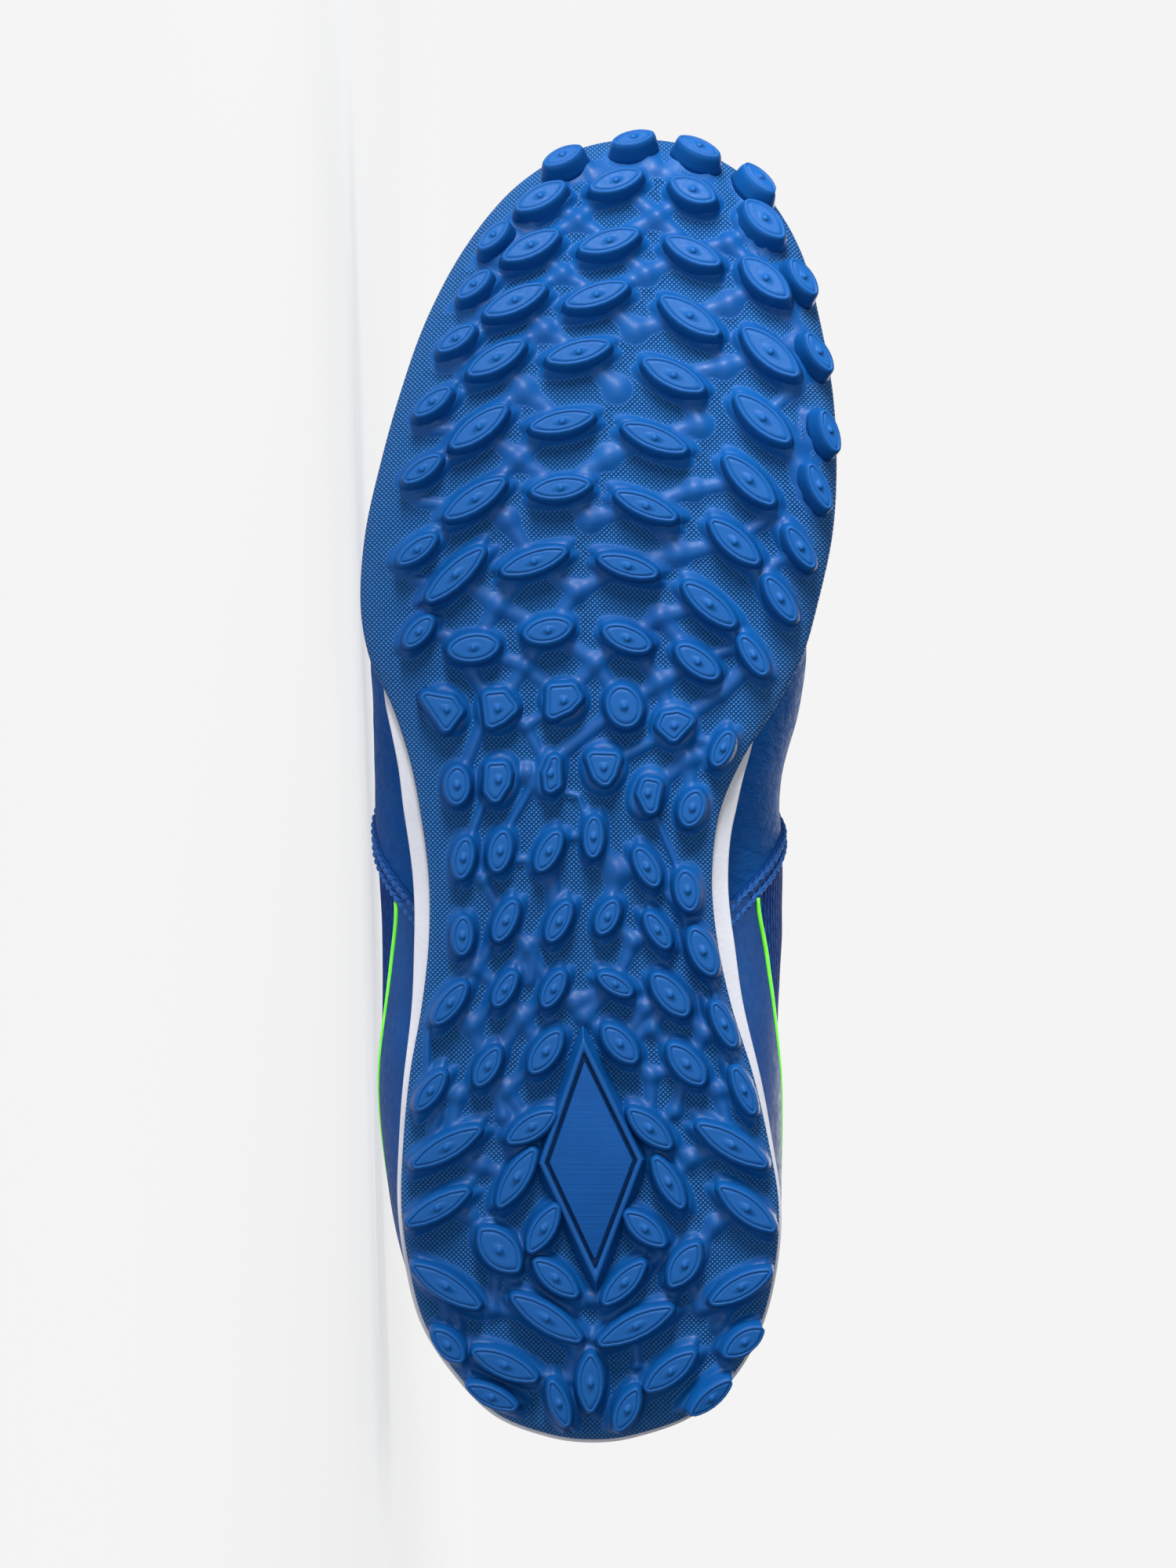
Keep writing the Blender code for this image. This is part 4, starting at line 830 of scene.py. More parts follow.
def polygon_points(corners, centre, roundness, angles):
    """Points of a rounded polygon whose edge faces each of these directions, round its centre."""
    corners = np.array(corners, dtype=float) - centre
    corners = corners * (1 - roundness / np.linalg.norm(corners, axis=1))[:, None]
    normals = np.column_stack([np.cos(angles), np.sin(angles)])
    return corners[np.argmax(normals @ corners.T, axis=1)] + normals * roundness


def lug_outline(index):
    """A lug's face in chart units round its middle, and the direction that its edge faces there."""
    across, down, length, width, turn = (column[index] for column in LUGS.values())
    angles = 2 * math.pi * (np.arange(LUG_PLACES) + 0.5) / LUG_PLACES
    shaped = SHAPED_LUGS.get((int(across), int(down)))
    if shaped:
        points = polygon_points(shaped[0], (across, down), shaped[1], angles)
        return points, np.column_stack([np.cos(angles), np.sin(angles)])
    pointed = float(smooth(POINTED["down"], POINTED["share"], down))
    points = leaf_points(length - 1.0, width - 1.0, pointed, angles)
    normals = np.column_stack([np.cos(angles), np.sin(angles)])
    points = points + normals * 0.5
    lean = math.radians(-turn)
    spin = np.array([[math.cos(lean), -math.sin(lean)], [math.sin(lean), math.cos(lean)]])
    return points @ spin.T, normals @ spin.T


def lugs():
    """All lugs as one piece: grooved faces with a dot in the middle, round shoulders and flared sides."""
    points, faces, face_marks = [], [], []
    for index, (base, out, right, below) in enumerate(LUG_FRAMES):
        shape, normals = lug_outline(index)
        start = len(points)
        rings = []
        half_width = min(LUGS["width"][index] / 2 * UNIT, 0.002)
        dot = normals * min(DOT_RADIUS, DOT_SHARE * half_width)
        for share in (0.02, 0.5, 0.8, 0.95, 1.0):
            dome = DOT_HEIGHT * math.sqrt(max(0.0, 1 - share ** 2))
            rings.append((dot * share, LUG_HEIGHT * 0.995 + dome, 1.0))
        for share in (0.35, 0.75):
            rings.append((dot + (shape * UNIT - dot) * share, LUG_HEIGHT * 0.995, 1.0))
        for k, (reach, height) in enumerate(zip(LUG_BODY["out"], LUG_BODY["height"])):
            mark = 1.0 if k < GROOVE_ROWS else 0.0
            rings.append((shape * UNIT + normals * reach, LUG_HEIGHT * height, mark))
        for plan, height, mark in rings:
            ring = base + plan[:, :1] * right + plan[:, 1:] * below + out * height
            if height < 0.94 * LUG_HEIGHT:
                leaning = EDGE_OVERHANG if LUGS["down"][index] < OVERHANG_END else 0.0
                allowed = EDGE_INSET - (EDGE_INSET + leaning) * height / LUG_HEIGHT
                for p in ring:
                    p[:2] = inside_outline(p[0], p[1], allowed)
            points.extend(ring)
            face_marks.extend([mark] * LUG_PLACES)
        faces += capped_strip(len(rings), LUG_PLACES, start)
    points = np.array(points)
    marks = {"web": np.ones(len(points)), "face": face_marks}
    return make("lug_bodies", points, faces, RUBBER, marks=marks)


def web_links():
    """The arms of the knots and the single ribs, as plan segments with a width at each end."""
    lug_places = on_ground(LUGS["across"], LUGS["down"])
    links = []
    for across, down, radius, arms in zip(*KNOTS.values()):
        knot = on_ground(across, down)
        distance = np.hypot(*(lug_places - knot).T)
        size = KNOT_SPREAD * radius * UNIT
        links.append((knot, knot + (1e-5, 0), size, size, KNOT_SHARE))
        for lug in np.argsort(distance)[:int(arms)]:
            if distance[lug] < ARM_REACH * UNIT:
                links.append((knot, lug_places[lug], ARM_START * radius * UNIT, ARM_WIDTH * UNIT, ARM_SHARE))
    for across, down, to_across, to_down, width in zip(*RIBS.values()):
        start, end = on_ground(across, down), on_ground(to_across, to_down)
        links.append((start, end, width * UNIT, width * UNIT, RIB_SHARE))
    return links


def web_height(points):
    """How far the web and the feet of the lugs stand out of the ground at each point."""
    total = np.zeros(len(points))
    web = np.zeros(len(points))
    plan = points[:, :2]
    for start, end, first, last, tall in web_links():
        run = end - start
        length = max(float(run @ run), 1e-12)
        reach = max(first, last) * 2.0
        low, high = np.minimum(start, end) - reach, np.maximum(start, end) + reach
        near = np.nonzero(np.all((plan > low) & (plan < high), axis=1))[0]
        if not len(near):
            continue
        t = np.clip((plan[near] - start) @ run / length, 0, 1)
        distance = np.linalg.norm(plan[near] - start - t[:, None] * run, axis=1)
        width = (first + (last - first) * t) * WEB_SPREAD
        rise = WEB_HEIGHT * tall * np.clip(1 - (distance / width) ** 2, 0, 1) ** WEB_ROUNDNESS
        web[near] += rise ** WEB_BLEND
    for index, (base, out, right, below) in enumerate(LUG_FRAMES):
        length, width, turn = LUGS["length"][index] * UNIT, LUGS["width"][index] * UNIT, LUGS["turn"][index]
        a, b = length / 2, width / 2
        away = points - base
        near = np.nonzero((np.abs(away[:, 0]) < a + FOOT_END) & (np.abs(away[:, 1]) < a + FOOT_END))[0]
        away = away[near]
        lean = math.radians(turn)
        u = away @ right * math.cos(lean) - away @ below * math.sin(lean)
        v = away @ right * math.sin(lean) + away @ below * math.cos(lean)
        centre = (a * a - b * b) / (2 * b)
        on_arc = np.abs(u) * centre <= a * (np.abs(v) + centre)
        lens = np.where(on_arc, np.hypot(u, np.abs(v) + centre) - (centre + b), np.hypot(np.abs(u) - a, v))
        level = np.hypot(u / a, v / b)
        oval = level * (level - 1) / np.maximum(np.hypot(u / a ** 2, v / b ** 2), 1e-9)
        distance = np.minimum(lens, oval)
        foot = np.clip((FOOT_END - distance) / (FOOT_END - FOOT_START), 0, 1) ** FOOT_HOLLOW
        total[near] += (FOOT_HEIGHT * foot) ** WEB_BLEND
    return (total + web) ** (1 / WEB_BLEND)


EDGE_ANGLES = (0, 12, 24, 36, 48, 60, 72, 82, 90)
EDGE_RELIEF = (0, 0, 0.05, 0.15, 0.35, 0.6, 0.85, 1, 1)
GROUND_COLUMNS = 140


def tread():
    """The outsole with its wall, its rounded edge and the ground with its web, as one closed piece."""
    edge = []
    for degrees in EDGE_ANGLES:
        angle = math.radians(degrees)
        edge.append(SOLE.ring(SOLE.width * (1 - math.cos(angle)), SOLE.rise * (1 - math.sin(angle))))
    loops = [SOLE.inner_round(90, 0), SOLE.inner_round(0, 0), SOLE.ring(OUTSOLE_WALL, SOLE.wall),
             SOLE.ring(0.0004, SOLE.wall), SOLE.ring(0, SOLE.wall - 0.0004),
             SOLE.ring(0, (SOLE.wall + SOLE.rise) / 2), *edge]
    count = SOLE.loop
    faces = strip_faces(len(loops), count) + chord_faces(0, count)
    last = (len(loops) - 1) * count
    points = np.concatenate(loops)
    border = loops[-1]
    shares = np.linspace(0, 1, GROUND_COLUMNS + 1)[1:-1]
    rows = []
    for i in range(1, SOLE.half):
        a, b = border[i], border[count - i]
        plan = a[:2] + (b - a)[:2] * shares[:, None]
        rows.append(np.column_stack([plan, LUG_HEIGHT + spring(plan[:, 1])]))
    first = len(points)
    points = np.concatenate([points, *rows])
    inner = GROUND_COLUMNS - 1

    def row_points(i):
        middle = first + (i - 1) * inner + np.arange(inner)
        return np.concatenate([[last + i], middle, [last + count - i]])

    for i in range(1, SOLE.half - 1):
        a, b = row_points(i), row_points(i + 1)
        faces += np.column_stack([a[:-1], b[:-1], b[1:], a[1:]]).tolist()
    heel, toe = row_points(1), row_points(SOLE.half - 1)
    faces += [(last, int(p), int(q)) for p, q in zip(heel[:-1], heel[1:])]
    faces += [(last + SOLE.half, int(q), int(p)) for p, q in zip(toe[:-1], toe[1:])]
    under = np.zeros(len(points), dtype=bool)
    under[6 * count:] = True
    height = np.zeros(len(points))
    height[under] = web_height(points[under])
    for k, share in enumerate(EDGE_RELIEF):
        height[(6 + k) * count:(7 + k) * count] *= share
    mesh = bpy.data.meshes.new("plain_tread")
    mesh.from_pydata(points.tolist(), [], [list(map(int, f)) for f in faces])
    normals = np.zeros(len(points) * 3, dtype=np.float32)
    mesh.vertex_normals.foreach_get("vector", normals)
    bpy.data.meshes.remove(mesh)
    normals = normals.reshape(-1, 3)
    if normals[first + len(rows) * inner // 2][2] > 0:
        normals = -normals
    points = points + normals * height[:, None]
    marks = {"web": height / WEB_HEIGHT, "face": np.zeros(len(points))}
    return make("outsole_tread", points, faces, RUBBER, ("outsole",), marks)


def diamond_ring(out, height):
    """The diamond's plate with its sides moved out by some distance, at a height above the ground."""
    corners = np.array(DIAMOND, dtype=float) - DIAMOND_MIDDLE
    edges = np.roll(corners, -1, axis=0) - corners
    aside = np.column_stack([edges[:, 1], -edges[:, 0]]) / np.linalg.norm(edges, axis=1)[:, None]
    aside *= np.sign(np.einsum("ij,ij->i", aside, corners))[:, None]
    moved = []
    for k in range(len(corners)):
        sides = np.array([aside[k - 1], aside[k]])
        reach = [aside[k - 1] @ corners[k], aside[k] @ corners[k]]
        moved.append(np.linalg.solve(sides, np.array(reach) + out / UNIT))
    angles = 2 * math.pi * np.arange(48) / 48
    shape = polygon_points(moved, (0, 0), DIAMOND_ROUNDNESS, angles)
    x, y = from_chart(DIAMOND_MIDDLE[0] + shape[:, 0], DIAMOND_MIDDLE[1] + shape[:, 1], LUG_HEIGHT - height)
    return np.column_stack([x, y, LUG_HEIGHT - height + 0 * x])


def diamond():
    """The heel's diamond: a rounded rim, and inside a gap the bare flat plate."""
    tall = LUG_HEIGHT - PLATE_DEPTH
    middle = (RIM_START + RIM_END) / 2
    rim = [diamond_ring(RIM_START - 0.0001, -LUG_ROOT), diamond_ring(RIM_START, tall - 0.0005),
           diamond_ring(RIM_START + 0.00015, tall - 0.00008), diamond_ring(middle, tall),
           diamond_ring(RIM_END - 0.0002, tall - 0.0001), diamond_ring(RIM_END, tall - 0.0006),
           diamond_ring(RIM_END + 0.0004, 0.0020), diamond_ring(RIM_END + 0.0013, 0.0004),
           diamond_ring(RIM_END + 0.0016, -LUG_ROOT)]
    count = len(rim[0])
    points = np.concatenate(rim)
    rubber = {"web": np.ones(len(points)), "face": np.zeros(len(points))}
    make("diamond_rim", points, looped_strip(len(rim), count), RUBBER, marks=rubber)
    plate = [diamond_ring(RIM_START + 0.0002, -LUG_ROOT), diamond_ring(RIM_START + 0.0002, tall - GAP_DEPTH),
             diamond_ring(0.0001, tall - GAP_DEPTH), diamond_ring(0.00005, tall - 0.0006),
             diamond_ring(0.0, tall - 0.00025), diamond_ring(-0.0002, tall - 0.0001)]
    points = np.concatenate(plate)
    marks = {"web": np.ones(len(points)), "face": np.full(len(points), 0.5)}
    make("diamond_plate", points, capped_strip(len(plate), count), PLATE, marks=marks, sharp=30)


def midsole():
    side, top = SOLE.side, SOLE.midsole_top
    step = np.minimum(SOLE.wall + 2 * GAP, top - 2 * MIDSOLE_BEVEL)
    rounds = []
    for degrees in (0, 30, 60, 90):
        angle = math.radians(degrees)
        rounds.append(SOLE.ring(-side + MIDSOLE_BEVEL * (1 - math.cos(angle)),
                                top - MIDSOLE_BEVEL * (1 - math.sin(angle))))
    loops = [SOLE.inner_round(90, GAP), SOLE.inner_round(0, GAP), SOLE.ring(SOLE.tucked, step - GAP),
             SOLE.ring(-side + 0.0003, step), SOLE.ring(-side, step + 0.0003), *rounds]
    points, faces = layered(loops)
    return make("midsole_foam", points, faces, FOAM, ("midsole",))


# The seam behind the grained front: section and level where it leaves the sole and where it ends
SEAM = table("section level", [(10.1, 0.03), (10.9, 0.22), (11.9, 0.45), (12.6, 0.60), (13.1, 0.70)])
SEAM_SPREAD = 0.0013
SEAM_WIDTH = 0.0026
SEAM_FLATNESS = 0.16
STITCH_LENGTH = 0.0030
STITCH_WIDTH = 0.00075
STITCH_BULGE = 0.0007
STITCH_SINK = 0.00035
STITCH_SLANT = 0.00045
STITCH_STEP = 0.82 * STITCH_LENGTH
UPPER_LEVELS = 56

# Soft creases over the ball: section, level, half length in sections, half width in levels and depth
CREASES = table("section level long wide deep", [
    (15.2, 0.55, 0.55, 0.20, 0.0009), (16.3, 0.62, 0.50, 0.22, 0.0011), (17.3, 0.66, 0.55, 0.24, 0.0010),
    (18.4, 0.74, 0.60, 0.20, 0.0006), (4.0, 0.78, 1.20, 0.10, 0.0006),
])


def upper_form(levels):
    """The upper's outside with its creases, and its normals."""
    points = BODY.surface(levels)
    normals = grid_normals(points)
    section, level = np.meshgrid(BODY.section, levels, indexing="ij")
    relief = np.zeros_like(section)
    for at, up, long, wide, deep in zip(*CREASES.values()):
        across = (section - at) / long
        relief += deep * (0.45 * np.exp(-(np.abs(across) - 1.6) ** 2 * 2) - np.exp(-across ** 2)) \
            * np.exp(-((level - up) / wide) ** 2)
    relief *= np.where(level > 0.98, 0, 1)
    return points + normals * relief[..., None], normals


def smooth_ridge(normals):
    """Normals at the closed ridge of the vamp point up evenly from both sides."""
    fixed = normals.copy()
    closed = BODY.section >= THROAT_SECTION
    other = (BODY.loop - np.arange(BODY.loop)) % BODY.loop
    both = fixed[:, -1] + fixed[other, -1]
    both /= np.maximum(np.linalg.norm(both, axis=1, keepdims=True), 1e-9)
    fixed[closed, -1] = both[closed]
    return fixed


def upper():
    """The shell of the upper: its outside, a flat band over the collar's top edge and the lining inside."""
    levels = np.linspace(0, 1, UPPER_LEVELS + 1)
    outside, normals = upper_form(levels)
    normals = smooth_ridge(normals)
    inside = outside - normals * UPPER_WALL
    points = np.concatenate([outside.reshape(-1, 3), inside.reshape(-1, 3)])
    columns = len(levels)
    count = BODY.loop
    shift = count * columns
    closed = BODY.section >= THROAT_SECTION

    def key(i, k, side):
        i = i % count
        if k == columns - 1 and closed[i]:
            i = min(i, count - i)
        return side * shift + i * columns + k

    faces = []
    for i in range(count):
        for k in range(columns - 1):
            quad = [key(i, k, 0), key(i + 1, k, 0), key(i + 1, k + 1, 0), key(i, k + 1, 0)]
            faces.append(list(dict.fromkeys(quad)))
            quad = [key(i, k, 1), key(i, k + 1, 1), key(i + 1, k + 1, 1), key(i + 1, k, 1)]
            faces.append(list(dict.fromkeys(quad)))
        faces.append([key(i + 1, 0, 0), key(i, 0, 0), key(i, 0, 1), key(i + 1, 0, 1)])
        if not (closed[i] and closed[(i + 1) % count]):
            k = columns - 1
            quad = [key(i, k, 0), key(i + 1, k, 0), key(i + 1, k, 1), key(i, k, 1)]
            faces.append(list(dict.fromkeys(quad)))
    section, level = np.meshgrid(BODY.section, levels, indexing="ij")
    seam = np.interp(level, SEAM["level"], SEAM["section"])
    knit = np.clip((seam - section) * 4, 0, 1) * np.clip((level - 0.10) * 8, 0, 1)
    knit = np.concatenate([knit.ravel(), np.ones(knit.size) * 0.9])
    used = np.unique(np.concatenate([np.array(f) for f in faces]))
    renumber = np.full(len(points), -1)
    renumber[used] = np.arange(len(used))
    faces = [[int(renumber[v]) for v in f] for f in faces]
    return make("upper_shell", points[used], faces, LEATHER, ("upper",), {"knit": knit[used]})


def on_upper(section, outer, level, lift):
    """A place on the upper, lifted off its surface, with the direction out of it."""
    at = section * BODY.per_section if outer else BODY.loop - section * BODY.per_section
    i = int(at) % BODY.loop
    t = at - int(at)
    k = min(level * UPPER_LEVELS, UPPER_LEVELS - 1e-6)
    j, s = int(k), k - int(k)

    def read(grid):
        near = grid[i, j] * (1 - s) + grid[i, j + 1] * s
        far = grid[(i + 1) % BODY.loop, j] * (1 - s) + grid[(i + 1) % BODY.loop, j + 1] * s
        return near * (1 - t) + far * t

    normal = read(UPPER_NORMALS)
    normal = normal / np.linalg.norm(normal)
    return read(UPPER_POINTS) + normal * lift, normal


UPPER_AT = np.linspace(0, 1, UPPER_LEVELS + 1)
UPPER_POINTS, UPPER_NORMALS = upper_form(UPPER_AT)


def patch(name, sections, low, high, thickness, finish, replaced):
    """A panel on the upper between two level lines, with rounded edges, one for each given side."""
    points, faces = [], []
    for outer_first in sections:
        rows = []
        for section, outer in outer_first:
            bottom, top = low(section), high(section)
            shares = np.concatenate([[0, 0.0, 0.012], np.linspace(0.04, 0.96, 14), [0.988, 1, 1]])
            lifts = np.full(len(shares), thickness)
            lifts[[0, -1]] = GAP
            lifts[[1, -2]] = thickness - OVERLAY_BEVEL
            spots = zip(bottom + (top - bottom) * shares, lifts)
            rows.append([on_upper(section, outer, level, lift)[0] for level, lift in spots])
        rows = np.array(rows)
        faces += capped_strip(*rows.shape[:2], len(points))
        points.extend(rows.reshape(-1, 3))
    return make(name, np.array(points), faces, finish, replaced, sharp=50)


def panel_top(section):
    return float(smooth(PANEL["section"], PANEL["top"], section))


def round_the_heel(count):
    """Sections along the counter, from its inner end round the heel to its outer end."""
    sections = np.linspace(0.05, COUNTER_END, count)
    return [(s, False) for s in sections[::-1]] + [(s, True) for s in sections]


def counter():
    """The smooth panel round the heel, up to the piping."""
    return patch("counter_panel", [round_the_heel(70)], lambda s: COUNTER_FOOT, panel_top, COUNTER_THICKNESS,
                 COUNTER, ("heel_counter",))


def eyestay():
    """The lacing panel on both sides of the throat."""
    first, last = EYESTAY_SECTIONS
    sections = np.linspace(first, last, 46)

    def low(section):
        return EYESTAY_LEVEL + 0.10 * max(0.0, (section - (last - 2.2)) / 2.2) ** 2

    paths = [[(s, True) for s in sections], [(s, False) for s in sections]]
    return patch("eyestay_panel", paths, low, lambda s: EYESTAY_TOP, OVERLAY_THICKNESS, STAY,
                 ("eyestay",))


def tube(path, radius, normals, corners=8, flat=1.0):
    """Points and faces of a tube along a path, closed at both ends, its height a share of its width."""
    path = np.asarray(path)
    ahead = np.gradient(path, axis=0)
    ahead /= np.maximum(np.linalg.norm(ahead, axis=1, keepdims=True), 1e-12)
    side = np.cross(ahead, normals)
    side /= np.maximum(np.linalg.norm(side, axis=1, keepdims=True), 1e-12)
    up = np.cross(side, ahead)
    radius = np.broadcast_to(radius, len(path))
    angles = 2 * math.pi * np.arange(corners) / corners
    rings = [p + (np.cos(angles)[:, None] * s + np.sin(angles)[:, None] * u * flat) * r
             for p, s, u, r in zip(path, side, up, radius)]
    return np.concatenate(rings), capped_strip(len(path), corners)


def joined(name, shapes, finish, replaced=(), marks=None):
    """Several bodies as one piece."""
    points, faces = [], []
    start = 0
    for body, body_faces in shapes:
        points.append(body)
        faces += [[start + v for v in f] for f in body_faces]
        start += len(body)
    return make(name, np.concatenate(points), faces, finish, replaced, marks)


def piping():
    """The round green cord along the counter's top edge."""
    path, normals = [], []
    for section, outer in round_the_heel(110):
        place, normal = on_upper(section, outer, panel_top(section) + PIPING_STEP, PIPING_LIFT)
        path.append(place)
        normals.append(normal)
    return joined("piping_cord", [tube(path, PIPING_RADIUS, normals, 10)], PIPING, ("piping",))


def stitch(start, end, normal, width):
    """One lying stitch: thick in the middle, its ends dipping into the surface."""
    steps = np.linspace(0, 1, 7)
    bulge = np.sin(math.pi * (0.08 + 0.84 * steps))
    path = [start + (end - start) * s + normal * (STITCH_BULGE * b - STITCH_SINK)
            for s, b in zip(steps, bulge)]
    return tube(path, width * (0.35 + 0.65 * bulge), [normal] * len(path), flat=0.8)


def seams():
    """Two rows of slanted stitches along the seam on each side."""
    shapes = []
    levels = np.linspace(SEAM["level"][0], SEAM["level"][-1], 240)
    for outer in (True, False):
        path = []
        for level in levels:
            section = np.interp(level, SEAM["level"], SEAM["section"])
            path.append(on_upper(section, outer, level, 0.0004))
        places = np.array([p for p, _ in path])
        travelled = np.concatenate([[0], np.cumsum(np.linalg.norm(np.diff(places, axis=0), axis=1))])
        for side in (-1, 1):
            offset = side * SEAM_SPREAD
            for at in np.arange(0.0008, travelled[-1] - STITCH_LENGTH, STITCH_STEP):
                a, b = (int(np.searchsorted(travelled, at + d)) for d in (0, STITCH_LENGTH))
                normal = path[(a + b) // 2][1]
                ahead = places[b] - places[a]
                aside = np.cross(normal, ahead)
                aside /= np.linalg.norm(aside)
                slant = aside * STITCH_SLANT
                start = places[a] + aside * offset - slant
                end = places[b] + aside * offset + slant
                shapes.append(stitch(start, end, normal, STITCH_WIDTH))
    return joined("side_stitches", shapes, THREAD)


def seam_ridge():
    """The raised edge of the grained front, under the two rows of stitches."""
    shapes = []
    for outer in (True, False):
        path, normals = [], []
        for level in np.linspace(SEAM["level"][0], SEAM["level"][-1], 60):
            place, normal = on_upper(np.interp(level, SEAM["level"], SEAM["section"]), outer, level, 0.0001)
            path.append(place)
            normals.append(normal)
        shapes.append(tube(path, SEAM_WIDTH, normals, 12, SEAM_FLATNESS))
    return joined("seam_ridge", shapes, STAY)


def insole():
    inset = BODY.feather_inset + UPPER_WALL + INSOLE_PLAY
    low = BODY.midsole_top + GAP
    loops = [BODY.ring(inset + GAP, low), BODY.ring(inset, low + GAP),
             BODY.ring(inset, low + INSOLE_THICKNESS - 0.0008),
             BODY.ring(inset + 0.0004, low + INSOLE_THICKNESS - 0.0002),
             BODY.ring(inset + 0.0012, low + INSOLE_THICKNESS)]
    points, faces = layered(loops)
    return make("insole_liner", points, faces, LINING, ("insole",))


def tongue_row(outer, middle, inner):
    """One section of the tongue: a rounded strip through its outer, middle and inner places."""
    keys = np.array([*outer, middle, *inner])
    at = np.linspace(0, 1, len(keys))
    fine = np.linspace(0, 1, 25)
    top = np.column_stack([smooth(at, keys[:, axis], fine) for axis in range(3)])
    edge = np.sin(math.pi * np.clip(np.minimum(fine, 1 - fine) * 6, 0, 0.5))
    low = top - np.column_stack([0 * fine, 0 * fine, TONGUE_THICKNESS * (0.25 + 0.75 * edge)])
    return np.concatenate([top, low[::-1]])


def tongue():
    inward = UPPER_WALL + TONGUE_PLAY

    def side_points(section, outer):
        spots = [on_upper(section, outer, level, 0) for level in TONGUE_LEVELS]
        return [p - n * inward for p, n in spots]

    rows = []
    for section in np.linspace(*TONGUE_SECTIONS, 76):
        outer, inner = side_points(section, True), side_points(section, False)[::-1]
        middle = (outer[-1] + inner[0]) / 2
        if section < THROAT_SECTION:
            middle = middle + (0, 0, TONGUE_ARCH)
        if np.linalg.norm(outer[-1] - inner[0]) < 2 * TONGUE_ARCH:
            spread = np.array([TONGUE_ARCH, 0, 0])
            outer = outer[:-1] + [middle + spread]
            inner = [middle - spread] + inner[1:]
        rows.append(tongue_row(outer, middle, inner))
    anchor = (outer[-1] + inner[0]) / 2
    first = np.array([outer[0][0] - anchor[0], outer[0][2] - anchor[2]])
    backs = np.concatenate([[0], TONGUE_END["back"]])
    for back in np.linspace(0.0012, TONGUE_END["back"][-1], 16):
        up = float(smooth(backs, np.concatenate([[0], TONGUE_END["up"]]), back))
        half = float(smooth(backs, np.concatenate([[first[0]], TONGUE_END["half"]]), back))
        centre = anchor + (0, -back, up)
        steps = [(half * share, -drop) for share, drop in zip(TONGUE_EDGE["share"], TONGUE_EDGE["drop"])]
        blend = min(1.0, back / TONGUE_END["back"][0])
        outer_free = [centre + (x, 0, z) for x, z in steps]
        inner_free = [centre + (-x, 0, z) for x, z in reversed(steps)]
        last_outer = [p + (0, -back, up) for p in outer]
        last_inner = [p + (0, -back, up) for p in inner]
        outer_now = [a * (1 - blend) + b * blend for a, b in zip(last_outer, outer_free)]
        inner_now = [a * (1 - blend) + b * blend for a, b in zip(last_inner, inner_free)]
        rows.append(tongue_row(outer_now, centre, inner_now))
    rows = np.array(rows)
    faces = capped_strip(*rows.shape[:2])
    return make("tongue_pad", rows.reshape(-1, 3), faces, PADDING, ("tongue",), sharp=60)


def ribbon(path, normals, width, thickness):
    """A flat lace along a path, with rounded edges."""
    ahead = np.gradient(path, axis=0)
    side = np.cross(ahead, normals)
    side /= np.linalg.norm(side, axis=1, keepdims=True)
    up = np.cross(side, ahead)
    up /= np.linalg.norm(up, axis=1, keepdims=True)
    angles = 2 * math.pi * np.arange(LACE_CORNERS) / LACE_CORNERS
    across = np.sign(np.cos(angles)) * np.abs(np.cos(angles)) ** 0.5 * width / 2
    over = np.sign(np.sin(angles)) * np.abs(np.sin(angles)) ** 0.7 * thickness / 2
    rings = [p + across[:, None] * s + over[:, None] * u for p, s, u in zip(path, side, up)]
    return np.concatenate(rings), capped_strip(len(path), LACE_CORNERS)


def lace_run(start, end, from_outer, stagger):
    """One run of the lace: out of an eyelet, over the tongue and down into one on the other side."""
    lift = OVERLAY_THICKNESS + LACE_THICKNESS / 2 + LACE_SLACK + stagger
    lean = (end - start) * LACE_LEAN
    keys = [on_upper(start, from_outer, EYELET_LEVEL - EYELET_STEP, -LACE_SINK),
            on_upper(start, from_outer, EYELET_LEVEL + EYELET_STEP, lift),
            on_upper(start + lean, from_outer, RIDGE_LEVEL, lift + LACE_SLACK)]
    back = [on_upper(end - lean, not from_outer, RIDGE_LEVEL, lift + LACE_SLACK),
            on_upper(end, not from_outer, EYELET_LEVEL + EYELET_STEP, lift),
            on_upper(end, not from_outer, EYELET_LEVEL - EYELET_STEP, -LACE_SINK)]
    top = (keys[-1][0] + back[0][0]) / 2 + (0, 0, TONGUE_ARCH), np.array((0, 0, 1.0))
    places, directions = (np.array(column) for column in zip(*keys, top, *back))
    at = np.concatenate([[0], np.cumsum(np.linalg.norm(np.diff(places, axis=0), axis=1))])
    fine = np.linspace(0, at[-1], LACE_STEPS)
    path = np.column_stack([smooth(at, column, fine) for column in places.T])
    normals = np.column_stack([np.interp(fine, at, column) for column in directions.T])
    normals /= np.linalg.norm(normals, axis=1, keepdims=True)
    return ribbon(path, normals, LACE_WIDTH - 2 * stagger, LACE_THICKNESS)


def laces():
    bodies = [lace_run(EYELET_SECTIONS[-1], EYELET_SECTIONS[-1], True, 2 * LACE_STAGGER)]
    for k in range(len(EYELET_SECTIONS) - 1):
        ends = EYELET_SECTIONS[k], EYELET_SECTIONS[k + 1]
        bodies.append(lace_run(*ends, True, 3 * LACE_STAGGER))
        bodies.append(lace_run(*ends, False, 0))
    return joined("lace_crossings", bodies, CORD, ("laces",))


